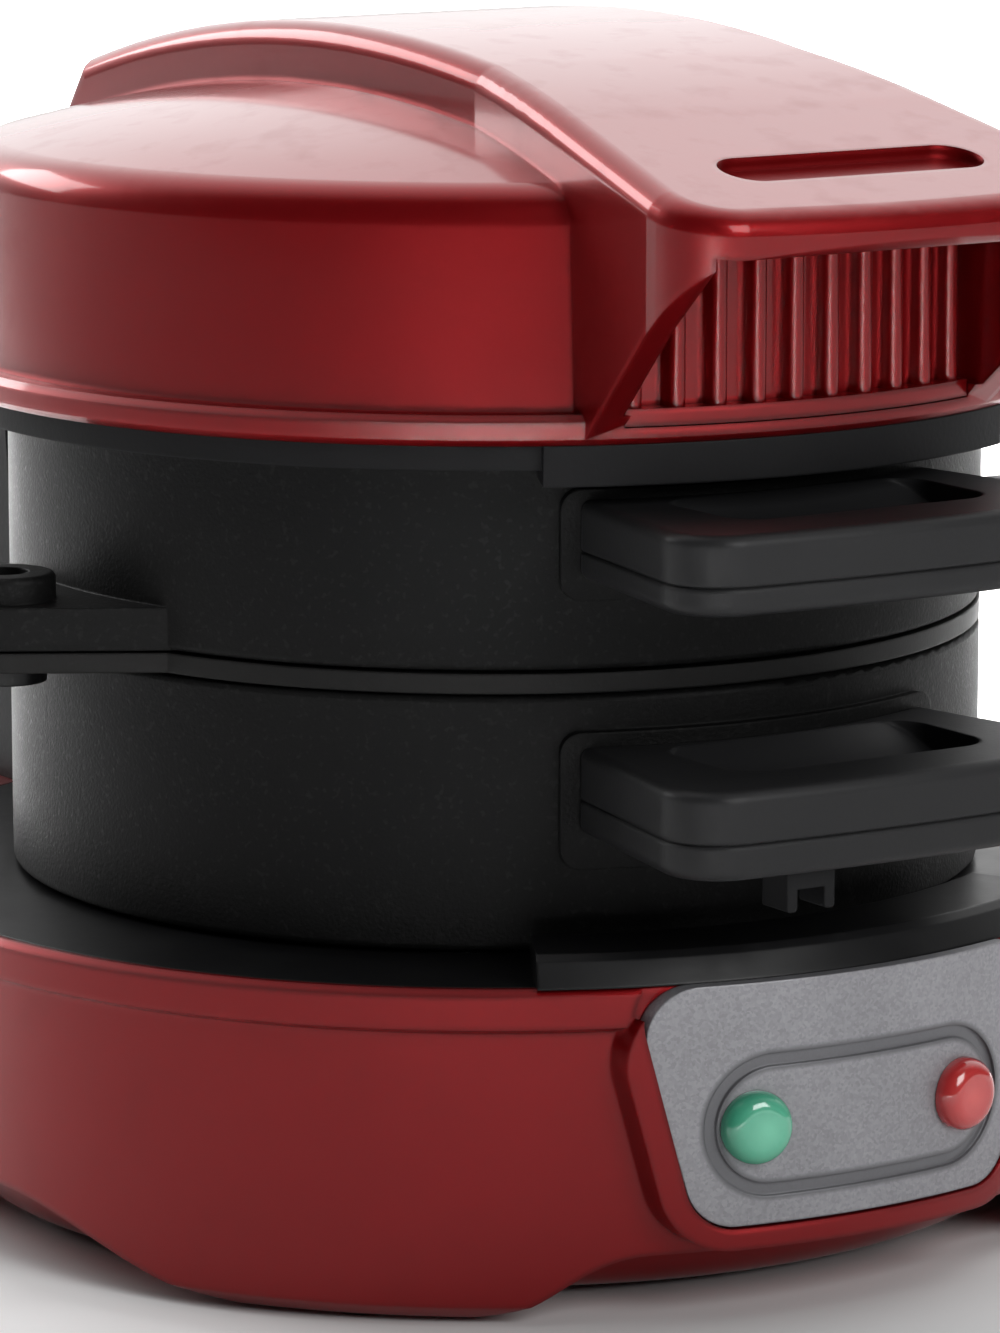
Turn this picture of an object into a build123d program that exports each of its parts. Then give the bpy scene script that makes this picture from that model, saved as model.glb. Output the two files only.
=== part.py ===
from build123d import *
import os
from math import cos, radians, sin, sqrt

os.makedirs("parts", exist_ok=True)

# Breakfast sandwich maker, in millimetres. Origin on the table under the axis of the rings,
# +Z up, the handles and the indicator panel towards -Y, the hinge towards +Y.
# An azimuth is measured in degrees from the front, positive towards +X.

# ---- clearances ----
rest_gap = 0.3            # between pieces that part when the stack is opened
deck_gap = 0.5            # from the deck up to the foot of the bottom ring
fit_gap = 0.15            # between a piece and the seat it is fixed in
pin_clearance = 0.06      # radial, between a hinge pin and its bore

# ---- rings ----
ring_outer_r = 61.0
ring_wall = 3.2
bottom_ring_height = 30.5
top_ring_height = 26.2
ring_edge_fillet = 0.8
flange_half_angle = 25.5
flange_thickness = 1.4
flange_corner_r = 2.5
top_flange_height = 13.2
top_flange_lift = 8.4         # from the foot of the top ring to its flange
bottom_flange_height = 16.4
bottom_flange_lift = 9.9

# ---- ring handles ----
handle_length = 28.1          # from the flange to the front of a handle
handle_root_half_width = 25.0
handle_front_half_width = 31.0
handle_corner_r = 7.0
handle_bow = 2.0              # how far the middle of the front edge stands forward
handle_edge_r = 1.4
thumb_groove_depth = 3.2
thumb_groove_length = 18.0
thumb_groove_half_width = 18.0
thumb_groove_setback = 9.5    # from the flange to the middle of the groove
top_handle_split_lift = 14.4  # from the foot of the ring to the joint of the two halves
top_handle_upper_height = 6.0
top_handle_lower_height = 3.4
bottom_handle_split_lift = 18.4
bottom_handle_upper_height = 6.2
bottom_handle_lower_height = 4.2
tongue_half_width = 13.0      # metal tongue of the ring, held between the handle halves
tongue_length = 20.0
tongue_thickness = 3.0
handle_screw_r = 1.6
handle_screw_head_r = 3.0
handle_screw_head_height = 1.0
handle_screw_spacing = 15.0
handle_screw_setback = 15.5   # from the face of the flange to the screws
handle_screw_reach = 2.4      # into the upper half, past the joint of the halves
handle_seam = 0.3
clip_x = -13.0
clip_setback = 5.5            # from the front of the handle to the middle of the clip
clip_width = 6.6
clip_height = 2.2
clip_depth = 5.0
clip_prong_width = 1.4
clip_prong_length = 2.6

# ---- cooking plate and its pivot ----
plate_thickness = 2.4
plate_dish_depth = 0.8
plate_dish_rim = 3.8          # from the bore of the rings in to the dish
pivot_setback = 10.0          # from the rings out to the pivot
pivot_y = -2.0
pivot_pin_r = 2.9
pivot_ear_r = 7.8
pivot_ear_thickness = 5.2
pivot_boss_r = 6.2
pivot_boss_height = 3.2
pivot_boss_edge_r = 0.8
ear_front_azimuth = -72.5     # where the two sides of the ear leave the ring
ear_rear_azimuth = -102.0
pivot_dimple_depth = 1.2
pivot_head_r = 5.0
pivot_head_height = 1.8
tang_half_width = 7.0
tang_length = 30.0
plate_handle_gap = 3.5        # from the rings out to the handle of the plate
plate_handle_length = 36.0
plate_handle_half_width = 13.0
plate_handle_corner_r = 6.0
plate_handle_upper_height = 5.6
plate_handle_lower_height = 1.4
plate_handle_edge_r = 1.2
plate_screw_setback = 15.5

# ---- base ----
base_height = 40.5
base_overhang = 18.0          # from the rings out to the rim of the base
base_rim_step = 1.6
base_wall = 2.6
base_rim_height = 4.7
base_foot_z = 0.8             # the pads reach from here down to the table
wall_chamfer = 1.5
rim_chamfer = 0.8
tub_inset = 7.9
tub_bottom_z = 1.4
tub_corner_r = 5.0
tub_floor = 4.8
tub_floor_width = 12.5
arch_foot = 42.5             # half span of each arch at the feet
front_arch_top = 25.0         # half length of the level top of the front and rear arches
front_arch_z = 8.0
side_arch_top = 8.0
side_arch_z = 9.8
bottom_cover_lap = 5.0        # how far the bottom cover reaches over the floor of the tub
bottom_cover_thickness = 2.0
vent_count = 12
vent_length = 14.0
vent_width = 2.6
vent_circle_r = 30.0
foot_pad_r = 4.5
foot_pad_height = 1.6
base_screw_inset = 2.6        # from the edge of the bottom cover to its screws
base_boss_r = 3.0
base_boss_height = 7.0
screw_r = 1.5
screw_head_r = 2.2
screw_head_height = 1.2
screw_length = 8.0
deck_thickness = 3.0
deck_edge = 1.6               # width of the red rim round the deck
deck_skirt_depth = 8.0
deck_skirt_wall = 2.0
deck_ledge = 1.0              # width of the ledge that the lower heating plate rests on
deck_ledge_thickness = 2.0
apron_half_angle = 29.0
apron_height = 3.7
apron_width = 13.5
apron_slope = 1.8             # how far the front face leans back
hinge_block_half_width = 34.0
hinge_block_margin = 1.0      # from the rear of the cheeks to the rear of the block
hinge_block_bottom = 4.0
hinge_block_corner_r = 6.0
grommet_r = 5.5
grommet_flange_r = 7.5
grommet_flange_thickness = 1.5
grommet_bore_r = 3.2
grommet_z = 20.0
grommet_x = 18.0

# ---- indicator panel ----
panel_stand = 2.0             # how far the bulge stands out past the rim
panel_top_half_width = 32.4
panel_bottom_half_width = 24.5
panel_bottom_z = 8.8
panel_corner_r = 9.0
panel_lip = 2.5
fascia_thickness = 2.2
fascia_inset = 0.3
fascia_gap = 0.3
pill_length = 42.0
pill_height = 17.0
pill_z = 23.4
pill_groove_width = 1.5
pill_groove_depth = 0.5
lens_azimuth = 10.6
lens_r = 4.4
lens_dome = 2.6
lens_edge_r = 2.1
lens_stem_r = 3.0
lens_stem_length = 9.0
lamp_r = 2.2
lamp_length = 11.0
lamp_holder_depth = 9.0
lamp_holder_half_angle = 16.0
lamp_holder_height = 9.0

# ---- heating plates, elements and shields ----
heater_thickness = 5.0
element_tube_r = 3.2
element_circle_r = 40.0
element_gap_angle = 34.0
element_lead_length = 16.0
element_lead_r = 1.4
element_lead_angle = 2.5      # from the end of the tube to its lead
lead_clearance = 1.0
heater_fit = 0.8              # radial gap between the lower plate and the deck
upper_heater_gap = 1.6        # radial gap between the upper plate and the top ring
upper_heater_reach = 5.0      # how far the upper plate hangs into the top ring
upper_heater_flange = 3.6
upper_heater_flange_thickness = 2.0
upper_heater_wall = 3.0
shield_sheet = 0.8
shield_depth = 9.0
shield_inset = 4.0
thermostat_r = 8.0
thermostat_height = 7.0
thermostat_x = 10.0
terminal_width = 2.0
terminal_length = 7.0
terminal_thickness = 0.8
fuse_r = 2.0
fuse_length = 12.0
fuse_x = -14.0
fuse_y = 6.0
block_length = 24.0
block_width = 12.0
block_height = 9.0
block_x = -20.0
block_y = 28.0
block_way_r = 1.6

# ---- hinge ----
hinge_setback = 9.5           # from the rim of the cover to the pin
hinge_z = 96.0
hinge_pin_r = 2.5
knuckle_r = 5.2
arm_width = 5.4
arm_spacing = 6.2             # from one arm to the next along the pin
inner_arm_x = 6.0             # inner face of the innermost arm
cheek_width = 6.0
cheek_fore = 12.0             # from the pin forward to the front of a cheek's foot
cheek_aft = 7.0
cheek_boss_r = 6.4
bracket_plate_thickness = 2.5
hinge_head_r = 4.4
hinge_head_thickness = 1.4
clip_ring_thickness = 0.8
arm_thickness = 8.0
low_arm_lift = 5.0            # from the foot of the bottom ring to its arms
low_arm_heel = 12.0           # from the pin forward to the heel of the arm
low_arm_knee = 2.0
low_arm_knee_z = 60.0
low_arm_shoulder = 12.0
low_arm_rise = 6.0
high_arm_drop = 12.0          # from the pin down to the arms of the top ring
high_arm_neck = 8.0

# ---- cover ----
cover_drop = 1.6              # from the top of the top ring up to the red rim
cover_overhang = 9.5          # from the rings out to the rim of the cover
cover_rim_height = 3.6
cover_rim_step = 2.9
cover_wall_lean = 1.6
cover_wall_height = 28.6     # from the red rim's lower edge to the shoulder
cover_shoulder_r = 5.0
cover_crown = 9.0             # how far the crown rises above the shoulder
cover_wall = 2.4
ridge_half_width = 24.5
ridge_rear_step = 0.6         # how far its rear face stands out of the wall
ridge_peak = 43.8            # above the rim's lower edge
ridge_top_r = 233.0           # radius of the ridge's back, seen from the side
ridge_rear_height = 28.2      # foot of the slanting facet at its rear
ridge_facet = 5.2
ridge_edge_r = 3.0
lip_overhang = 20.5           # from the rim out to the front of the lip
lip_half_width = 31.0
lip_corner_r = 8.0
lip_neck_y = 56.0             # where the curved ridge runs into the straight lip
lip_foot_height = 24.7        # lower front corner of the lip
lip_flare_start = 34.0
lip_head_length = 11.0
lip_thickness = 5.0
lip_bow = 2.0
gusset_wall = 3.6
gusset_setback = 4.1          # from the wall's foot back to the foot of a gusset
slot_setback = 15.0           # from the front of the lip to the slot
slot_length = 36.0
slot_width = 8.0
slot_depth = 1.6
grille_recess = 0.6
grille_thickness = 2.4
grille_lift = 2.15            # from the lower edge of the rim to the foot of the grille
grille_height = 22.8
grille_half_width = 24.4
window_depth = 15.0
rib_count = 10
rib_pitch = 5.0
rib_width = 2.0
rib_height = 2.6
sill_height = 2.0
liner_inset = 1.9             # from the rim of the cover in to the liner
liner_clearance = 1.0         # between the top ring and the skirt that surrounds it
liner_skirt_depth = 3.0
liner_web = 2.6
liner_apron_half_angle = 28.0
liner_apron_depth = 4.8
liner_apron_inset = 0.7
cover_screw_setback = 2.4     # from the inside of the skirt out to the screws
cover_boss_r = 2.6
cover_boss_height = 8.0
yoke_thickness = 4.0
yoke_arm_lift = 1.7           # from the lower edge of the rim to the underside of the arms
yoke_height = 15.7
yoke_screw_lift = 9.8
yoke_screw_spacing = 18.0

# ---- radii and reaches, worked out from the rings ----
ring_inner_r = ring_outer_r - ring_wall
ring_middle_r = ring_outer_r - ring_wall / 2
flange_r = ring_outer_r + flange_thickness
handle_reach = flange_r + handle_length
tongue_reach = flange_r + tongue_length
handle_screw_y = flange_r + handle_screw_setback
clip_y = handle_reach - clip_setback
plate_dish_r = ring_inner_r - plate_dish_rim
pivot_x = -ring_outer_r - pivot_setback
tang_reach = ring_outer_r + tang_length
plate_handle_start = ring_outer_r + plate_handle_gap
plate_screw_x = plate_handle_start + plate_screw_setback
base_rim_r = ring_outer_r + base_overhang
base_r = base_rim_r - base_rim_step
base_inner_r = base_r - base_wall
tub_r = base_r - tub_inset
tub_opening_r = tub_r - tub_floor_width
bottom_cover_r = tub_opening_r + bottom_cover_lap
base_screw_circle_r = bottom_cover_r - base_screw_inset
foot_circle_r = tub_r
apron_inner_r = base_rim_r - apron_width
deck_r = base_rim_r - deck_edge - fit_gap
deck_hole_r = ring_inner_r + ring_wall / 2
heater_r = deck_hole_r - heater_fit
panel_r = base_rim_r + panel_stand
lens_face_r = panel_r - fascia_inset
lamp_front_r = lens_face_r - lens_stem_length - fit_gap
cover_rim_r = ring_outer_r + cover_overhang
cover_wall_foot_r = cover_rim_r - cover_rim_step
cover_wall_top_r = cover_wall_foot_r - cover_wall_lean
ridge_rear = cover_wall_foot_r + ridge_rear_step
yoke_back = ridge_rear + yoke_thickness
lip_reach = cover_rim_r + lip_overhang
lip_flare_end = lip_reach - lip_head_length
gusset_foot_y = cover_wall_foot_r - gusset_setback
slot_reach = lip_reach - slot_setback
grille_r = cover_wall_foot_r - grille_recess
window_rear_y = grille_r - window_depth
liner_outer_r = cover_rim_r - liner_inset
liner_skirt_r = ring_outer_r + liner_clearance
liner_apron_r = cover_rim_r - liner_apron_inset
cover_screw_circle_r = liner_skirt_r + cover_screw_setback
upper_heater_r = ring_inner_r - upper_heater_gap
liner_hole_r = upper_heater_r + rest_gap
hinge_y = cover_rim_r + hinge_setback
cheek_x = inner_arm_x + 3 * arm_spacing
cheek_front = hinge_y - cheek_fore
cheek_rear = hinge_y + cheek_aft
hinge_block_rear = cheek_rear + hinge_block_margin
low_arm_heel_y = hinge_y - low_arm_heel
low_arm_knee_y = hinge_y - low_arm_knee
high_arm_neck_y = hinge_y - high_arm_neck
lead_azimuth = element_gap_angle / 2 + element_lead_angle

# ---- levels, worked up from the table ----
heater_z = base_height - heater_thickness
bottom_ring_z = base_height + deck_gap
bottom_ring_top = bottom_ring_z + bottom_ring_height
plate_z = bottom_ring_top + rest_gap
plate_top = plate_z + plate_thickness
top_ring_z = plate_top + rest_gap
top_ring_top = top_ring_z + top_ring_height
liner_web_z = top_ring_top + rest_gap
cover_z = top_ring_top + cover_drop
top_split_z = top_ring_z + top_handle_split_lift
bottom_split_z = bottom_ring_z + bottom_handle_split_lift
pivot_boss_top = top_ring_z + pivot_ear_thickness + pivot_boss_height
liner_top_z = liner_web_z + liner_web
upper_flange_top = liner_top_z + upper_heater_flange_thickness
grille_z = cover_z + grille_lift
yoke_screw_z = cover_z + yoke_screw_lift


def radial_plane(azimuth, radius=0.0, z=0.0):
    """Upright plane through the axis: local x runs outwards at the azimuth, local y runs up."""
    a = radians(azimuth)
    out = Vector(sin(a), -cos(a), 0)
    side = Vector(-cos(a), -sin(a), 0)
    return Plane(origin=out * radius + Vector(0, 0, z), x_dir=out, z_dir=side)


def facing_plane(azimuth, radius, z):
    """Plane that faces outwards at the azimuth, with local y up."""
    a = radians(azimuth)
    out = Vector(sin(a), -cos(a), 0)
    return Plane(origin=out * radius + Vector(0, 0, z), x_dir=Vector(cos(a), sin(a), 0), z_dir=out)


def side_plane(x):
    """Plane of a side profile at x: local x runs to the rear, local y runs up."""
    return Plane(origin=(x, 0, 0), x_dir=(0, 1, 0), z_dir=(1, 0, 0))


def arms_at(slot):
    """The two places along the hinge pin of one pair of arms, by the face nearer -X."""
    inner = inner_arm_x + slot * arm_spacing
    return (inner, -inner - arm_width)


def around(azimuth, radius):
    """The point at an azimuth and radius, seen in plan."""
    a = radians(azimuth)
    return (radius * sin(a), -radius * cos(a))


def shield(inset, top):
    """Shield outline of the indicator panel, upright on XZ, moved inwards by the inset."""
    with BuildSketch(Plane.XZ) as outline:
        with BuildLine():
            edge = Polyline(
                (-panel_top_half_width + inset, top),
                (-panel_bottom_half_width + inset, panel_bottom_z + inset),
                (panel_bottom_half_width - inset, panel_bottom_z + inset),
                (panel_top_half_width - inset, top),
                close=True,
            )
        make_face()
        fillet(edge.vertices().group_by(Axis.Z)[0], panel_corner_r - inset)
    return outline.sketch


def arch(level_half, height, plane):
    """Opening between two feet: a level top with an S-shaped fall to each foot."""
    with BuildSketch(plane) as outline:
        with BuildLine():
            Line((-arch_foot, 0), (-arch_foot, base_foot_z))
            Spline(
                (-arch_foot, base_foot_z),
                (-level_half, height),
                tangents=[(1, 0.15), (1, 0)],
            )
            Line((-level_half, height), (level_half, height))
            Spline(
                (level_half, height),
                (arch_foot, base_foot_z),
                tangents=[(1, 0), (1, -0.15)],
            )
            Polyline((arch_foot, base_foot_z), (arch_foot, 0), (-arch_foot, 0))
        make_face()
    return outline.sketch


# ---------------------------------------------------------------- base shell
with BuildPart() as panel_boss:
    # The bulge that carries the indicator panel: a shield outline wrapped on a cylinder.
    extrude(shield(0, base_height), amount=2 * panel_r)
    with BuildSketch(Plane.XY):
        Circle(panel_r)
    extrude(amount=base_height, mode=Mode.INTERSECT)

with BuildPart() as fascia_seat:
    # Recess for the fascia, left open at the top.
    extrude(shield(panel_lip, base_height + panel_lip), amount=2 * panel_r)
    with BuildSketch(Plane.XY):
        Circle(panel_r - fascia_inset - fascia_thickness)
    extrude(amount=base_height + panel_lip, mode=Mode.SUBTRACT)

with BuildPart() as base_shell:
    # Outer wall with a slightly larger band round the top.
    with BuildSketch(Plane.XZ):
        with BuildLine():
            Polyline(
                (0, base_foot_z),
                (base_r - wall_chamfer, base_foot_z),
                (base_r, base_foot_z + wall_chamfer),
                (base_r, base_height - base_rim_height - rim_chamfer),
                (base_rim_r, base_height - base_rim_height),
                (base_rim_r, base_height - rim_chamfer),
                (base_rim_r - rim_chamfer, base_height),
                (0, base_height),
                close=True,
            )
        make_face()
    revolve(axis=Axis.Z)
    # Arches between the four feet, front to rear and side to side.
    extrude(
        arch(front_arch_top, front_arch_z, Plane.XZ.offset(-2 * base_rim_r)),
        amount=4 * base_rim_r,
        mode=Mode.SUBTRACT,
    )
    extrude(
        arch(side_arch_top, side_arch_z, Plane.YZ.offset(-2 * base_rim_r)),
        amount=4 * base_rim_r,
        mode=Mode.SUBTRACT,
    )
    # Inner tub that hangs between the feet.
    with BuildSketch(Plane.XZ):
        with BuildLine():
            Line((0, tub_bottom_z), (tub_r - tub_corner_r, tub_bottom_z))
            RadiusArc(
                (tub_r - tub_corner_r, tub_bottom_z),
                (tub_r, tub_bottom_z + tub_corner_r),
                -tub_corner_r,
            )
            Polyline(
                (tub_r, tub_bottom_z + tub_corner_r),
                (tub_r, side_arch_z + base_wall),
                (0, side_arch_z + base_wall),
                (0, tub_bottom_z),
            )
        make_face()
    revolve(axis=Axis.Z)
    # Rear block under the hinge, and the panel bulge.
    with BuildSketch(Plane.XY.offset(hinge_block_bottom)):
        with Locations((0, hinge_block_rear / 2)):
            Rectangle(2 * hinge_block_half_width, hinge_block_rear)
        fillet(vertices().group_by(Axis.Y)[-1], hinge_block_corner_r)
    extrude(amount=base_height - hinge_block_bottom)
    add(panel_boss.part)
    # Hollow inside, with the tub floor left as a ring for the bottom cover.
    with BuildSketch(Plane.XY.offset(side_arch_z + base_wall)):
        Circle(base_inner_r)
    extrude(amount=base_height, mode=Mode.SUBTRACT)
    with BuildSketch(Plane.XY.offset(tub_bottom_z + tub_floor)):
        Circle(tub_r - base_wall)
    extrude(amount=base_height, mode=Mode.SUBTRACT)
    with BuildSketch(Plane.XY):
        Circle(tub_opening_r)
    extrude(amount=base_height, mode=Mode.SUBTRACT)
    with BuildSketch(Plane.XY):
        Circle(bottom_cover_r + fit_gap)
    extrude(amount=tub_bottom_z + bottom_cover_thickness, mode=Mode.SUBTRACT)
    with BuildSketch(Plane.XY.offset(hinge_block_bottom + base_wall)):
        with Locations((0, hinge_block_rear / 2)):
            Rectangle(
                2 * (hinge_block_half_width - base_wall), hinge_block_rear - 2 * base_wall
            )
    extrude(amount=base_height - hinge_block_bottom - 2 * base_wall, mode=Mode.SUBTRACT)
    # Screw bosses on the floor ring.
    with BuildSketch(Plane.XY.offset(tub_bottom_z + bottom_cover_thickness)):
        with PolarLocations(base_screw_circle_r, 4, start_angle=45):
            Circle(base_boss_r)
    extrude(amount=base_boss_height)
    with BuildSketch(Plane.XY):
        with PolarLocations(base_screw_circle_r, 4, start_angle=45):
            Circle(screw_r + fit_gap)
    extrude(amount=tub_bottom_z + screw_length + fit_gap, mode=Mode.SUBTRACT)
    # Sockets for the foot pads.
    with BuildSketch(Plane.XY):
        with PolarLocations(foot_circle_r, 4, start_angle=45):
            Circle(foot_pad_r + fit_gap)
    extrude(amount=foot_pad_height, mode=Mode.SUBTRACT)
    # Seat of the fascia, and the two ways for the lamps.
    add(fascia_seat.part, mode=Mode.SUBTRACT)
    for side in (-1, 1):
        with BuildSketch(facing_plane(side * lens_azimuth, base_inner_r - base_wall, pill_z)):
            Circle(lens_stem_r + fit_gap)
        extrude(amount=panel_r, mode=Mode.SUBTRACT)
    # Way for the cord grommet through the rear wall.
    with BuildSketch(Plane.XZ.offset(-hinge_block_rear)):
        with Locations((grommet_x, grommet_z)):
            Circle(grommet_r + fit_gap)
    extrude(amount=base_wall, mode=Mode.SUBTRACT)
    # The deck drops into the open top.
    with BuildSketch(Plane.XY.offset(base_height - deck_thickness)):
        Circle(deck_r + fit_gap)
    extrude(amount=deck_thickness, mode=Mode.SUBTRACT)
base_shell.part.label = "base_shell"
export_step(base_shell.part, "parts/base_shell.step")

with BuildPart() as base_bottom_cover:
    with BuildSketch(Plane.XY.offset(tub_bottom_z)):
        Circle(bottom_cover_r)
        with PolarLocations(base_screw_circle_r, 4, start_angle=45):
            Circle(screw_r + fit_gap, mode=Mode.SUBTRACT)
        with PolarLocations(vent_circle_r, vent_count):
            SlotOverall(vent_length, vent_width, mode=Mode.SUBTRACT)
    extrude(amount=bottom_cover_thickness)
base_bottom_cover.part.label = "base_bottom_cover"
export_step(base_bottom_cover.part, "parts/base_bottom_cover.step")

with BuildPart() as base_screws:
    with BuildSketch(Plane.XY.offset(tub_bottom_z - screw_head_height)):
        with PolarLocations(base_screw_circle_r, 4, start_angle=45):
            Circle(screw_head_r)
    extrude(amount=screw_head_height)
    with BuildSketch(Plane.XY.offset(tub_bottom_z)):
        with PolarLocations(base_screw_circle_r, 4, start_angle=45):
            Circle(screw_r)
    extrude(amount=screw_length)
base_screws.part.label = "base_screws"
export_step(base_screws.part, "parts/base_screws.step")

with BuildPart() as foot_pads:
    with BuildSketch(Plane.XY):
        with PolarLocations(foot_circle_r, 4, start_angle=45):
            Circle(foot_pad_r)
    extrude(amount=foot_pad_height)
foot_pads.part.label = "foot_pads"
export_step(foot_pads.part, "parts/foot_pads.step")

with BuildPart() as base_deck:
    with BuildSketch(Plane.XY.offset(base_height - deck_thickness)):
        Circle(deck_r)
        Circle(deck_hole_r, mode=Mode.SUBTRACT)
    extrude(amount=deck_thickness)
    with BuildSketch(Plane.XY.offset(base_height - deck_thickness)):
        Circle(deck_hole_r + deck_skirt_wall)
        Circle(deck_hole_r, mode=Mode.SUBTRACT)
    extrude(amount=-deck_skirt_depth)
    with BuildSketch(Plane.XY.offset(heater_z)):
        Circle(deck_hole_r)
        Circle(heater_r - deck_ledge, mode=Mode.SUBTRACT)
    extrude(amount=-deck_ledge_thickness)
    # Raised apron over the indicator panel.
    with BuildSketch(radial_plane(-apron_half_angle)):
        with BuildLine():
            Polyline(
                (apron_inner_r, base_height),
                (base_rim_r, base_height),
                (base_rim_r - apron_slope, base_height + apron_height - rim_chamfer),
                (base_rim_r - apron_slope - rim_chamfer, base_height + apron_height),
                (apron_inner_r + rim_chamfer, base_height + apron_height),
                close=True,
            )
        make_face()
    revolve(axis=Axis.Z, revolution_arc=2 * apron_half_angle)
base_deck.part.label = "base_deck"
export_step(base_deck.part, "parts/base_deck.step")

# ---------------------------------------------------------------- indicator panel
with BuildPart() as pill_groove:
    with BuildSketch(Plane.XZ):
        with Locations((0, pill_z)):
            SlotOverall(pill_length, pill_height)
            SlotOverall(
                pill_length - 2 * pill_groove_width,
                pill_height - 2 * pill_groove_width,
                mode=Mode.SUBTRACT,
            )
    extrude(amount=2 * panel_r)
    with BuildSketch(Plane.XY):
        Circle(panel_r - fascia_inset - pill_groove_depth)
    extrude(amount=base_height, mode=Mode.SUBTRACT)

with BuildPart() as panel_fascia:
    extrude(shield(panel_lip + fascia_gap, base_height), amount=2 * panel_r)
    with BuildSketch(Plane.XY):
        Circle(panel_r - fascia_inset)
        Circle(panel_r - fascia_inset - fascia_thickness + fit_gap, mode=Mode.SUBTRACT)
    extrude(amount=base_height, mode=Mode.INTERSECT)
    add(pill_groove.part, mode=Mode.SUBTRACT)
    for side in (-1, 1):
        with BuildSketch(facing_plane(side * lens_azimuth, base_inner_r, pill_z)):
            Circle(lens_stem_r + fit_gap)
        extrude(amount=panel_r, mode=Mode.SUBTRACT)
panel_fascia.part.label = "panel_fascia"
export_step(panel_fascia.part, "parts/panel_fascia.step")

with BuildPart() as preheat_lens:
    with BuildSketch(facing_plane(-lens_azimuth, lens_face_r, pill_z)):
        Circle(lens_r)
    extrude(amount=lens_dome)
    fillet(preheat_lens.faces().sort_by(SortBy.DISTANCE)[-1].edges(), lens_edge_r)
    with BuildSketch(facing_plane(-lens_azimuth, lens_face_r, pill_z)):
        Circle(lens_stem_r)
    extrude(amount=-lens_stem_length)
preheat_lens.part.label = "preheat_lens"
export_step(preheat_lens.part, "parts/preheat_lens.step")

power_lens = mirror(preheat_lens.part, about=Plane.YZ)
power_lens.label = "power_lens"
export_step(power_lens, "parts/power_lens.step")

with BuildPart() as indicator_lamps:
    for side in (-1, 1):
        with BuildSketch(facing_plane(side * lens_azimuth, lamp_front_r, pill_z)):
            Circle(lamp_r)
        extrude(amount=-lamp_length)
    fillet(indicator_lamps.edges().filter_by(GeomType.CIRCLE), lamp_r / 2)
indicator_lamps.part.label = "indicator_lamps"
export_step(indicator_lamps.part, "parts/indicator_lamps.step")

with BuildPart() as lamp_holder:
    # Curved bracket on the inside of the front wall, bored for both lamps.
    with BuildSketch(radial_plane(-lamp_holder_half_angle)):
        with Locations((base_inner_r - fit_gap - lamp_holder_depth / 2, pill_z)):
            Rectangle(lamp_holder_depth, lamp_holder_height)
    revolve(axis=Axis.Z, revolution_arc=2 * lamp_holder_half_angle)
    for side in (-1, 1):
        with BuildSketch(facing_plane(side * lens_azimuth, lamp_front_r, pill_z)):
            Circle(lens_stem_r + fit_gap)
        extrude(amount=panel_r, mode=Mode.SUBTRACT)
        with BuildSketch(facing_plane(side * lens_azimuth, lamp_front_r, pill_z)):
            Circle(lamp_r + fit_gap)
        extrude(amount=-panel_r / 2, mode=Mode.SUBTRACT)
lamp_holder.part.label = "lamp_holder"
export_step(lamp_holder.part, "parts/lamp_holder.step")

# ---------------------------------------------------------------- heaters
def element(z, lead):
    """Bent tubular element with its two leads, which run by the signed length."""
    start = 180 + element_gap_angle / 2
    with BuildPart() as tube:
        with BuildSketch(radial_plane(start)):
            with Locations((element_circle_r, z)):
                Circle(element_tube_r)
        revolve(axis=Axis.Z, revolution_arc=360 - element_gap_angle)
        with BuildSketch(Plane.XY.offset(z)):
            for side in (-1, 1):
                with Locations(around(180 + side * lead_azimuth, element_circle_r)):
                    Circle(element_lead_r)
        extrude(amount=lead)
    return tube


with BuildPart() as lower_heating_plate:
    with BuildSketch(Plane.XY.offset(heater_z)):
        Circle(heater_r)
    extrude(amount=heater_thickness)
    fillet(lower_heating_plate.edges().group_by(Axis.Z)[-1], ring_edge_fillet)
    with BuildSketch(radial_plane(0)):
        with Locations((element_circle_r, heater_z)):
            Circle(element_tube_r + fit_gap)
    revolve(axis=Axis.Z, mode=Mode.SUBTRACT)
lower_heating_plate.part.label = "lower_heating_plate"
export_step(lower_heating_plate.part, "parts/lower_heating_plate.step")

lower_heating_element = element(heater_z, -element_lead_length)
lower_heating_element.part.label = "lower_heating_element"
export_step(lower_heating_element.part, "parts/lower_heating_element.step")


def shield_dish(radius, rim_z, depth):
    """Sheet-metal dish whose rim lies at rim_z and whose floor lies a signed depth away."""
    way = 1 if depth > 0 else -1
    with BuildPart() as dish:
        with BuildSketch(Plane.XY.offset(rim_z)):
            Circle(radius)
        extrude(amount=depth)
        with BuildSketch(Plane.XY.offset(rim_z)):
            Circle(radius - shield_sheet)
        extrude(amount=depth - way * shield_sheet, mode=Mode.SUBTRACT)
        with BuildSketch(Plane.XY.offset(rim_z)):
            for side in (-1, 1):
                with Locations(around(180 + side * lead_azimuth, element_circle_r)):
                    Circle(element_lead_r + lead_clearance)
        extrude(amount=depth, mode=Mode.SUBTRACT)
    return dish


lower_heat_shield = shield_dish(heater_r - shield_inset, heater_z, -shield_depth)
lower_heat_shield.part.label = "lower_heat_shield"
export_step(lower_heat_shield.part, "parts/lower_heat_shield.step")

with BuildPart() as thermostat:
    with BuildSketch(Plane.XY.offset(heater_z)):
        with Locations((thermostat_x, 0)):
            Circle(thermostat_r)
    extrude(amount=-thermostat_height)
    with BuildSketch(Plane.XY.offset(heater_z - thermostat_height / 2)):
        with Locations((thermostat_x, 0)):
            Rectangle(terminal_width, 2 * (thermostat_r + terminal_length))
    extrude(amount=-terminal_thickness)
thermostat.part.label = "thermostat"
export_step(thermostat.part, "parts/thermostat.step")

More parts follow.
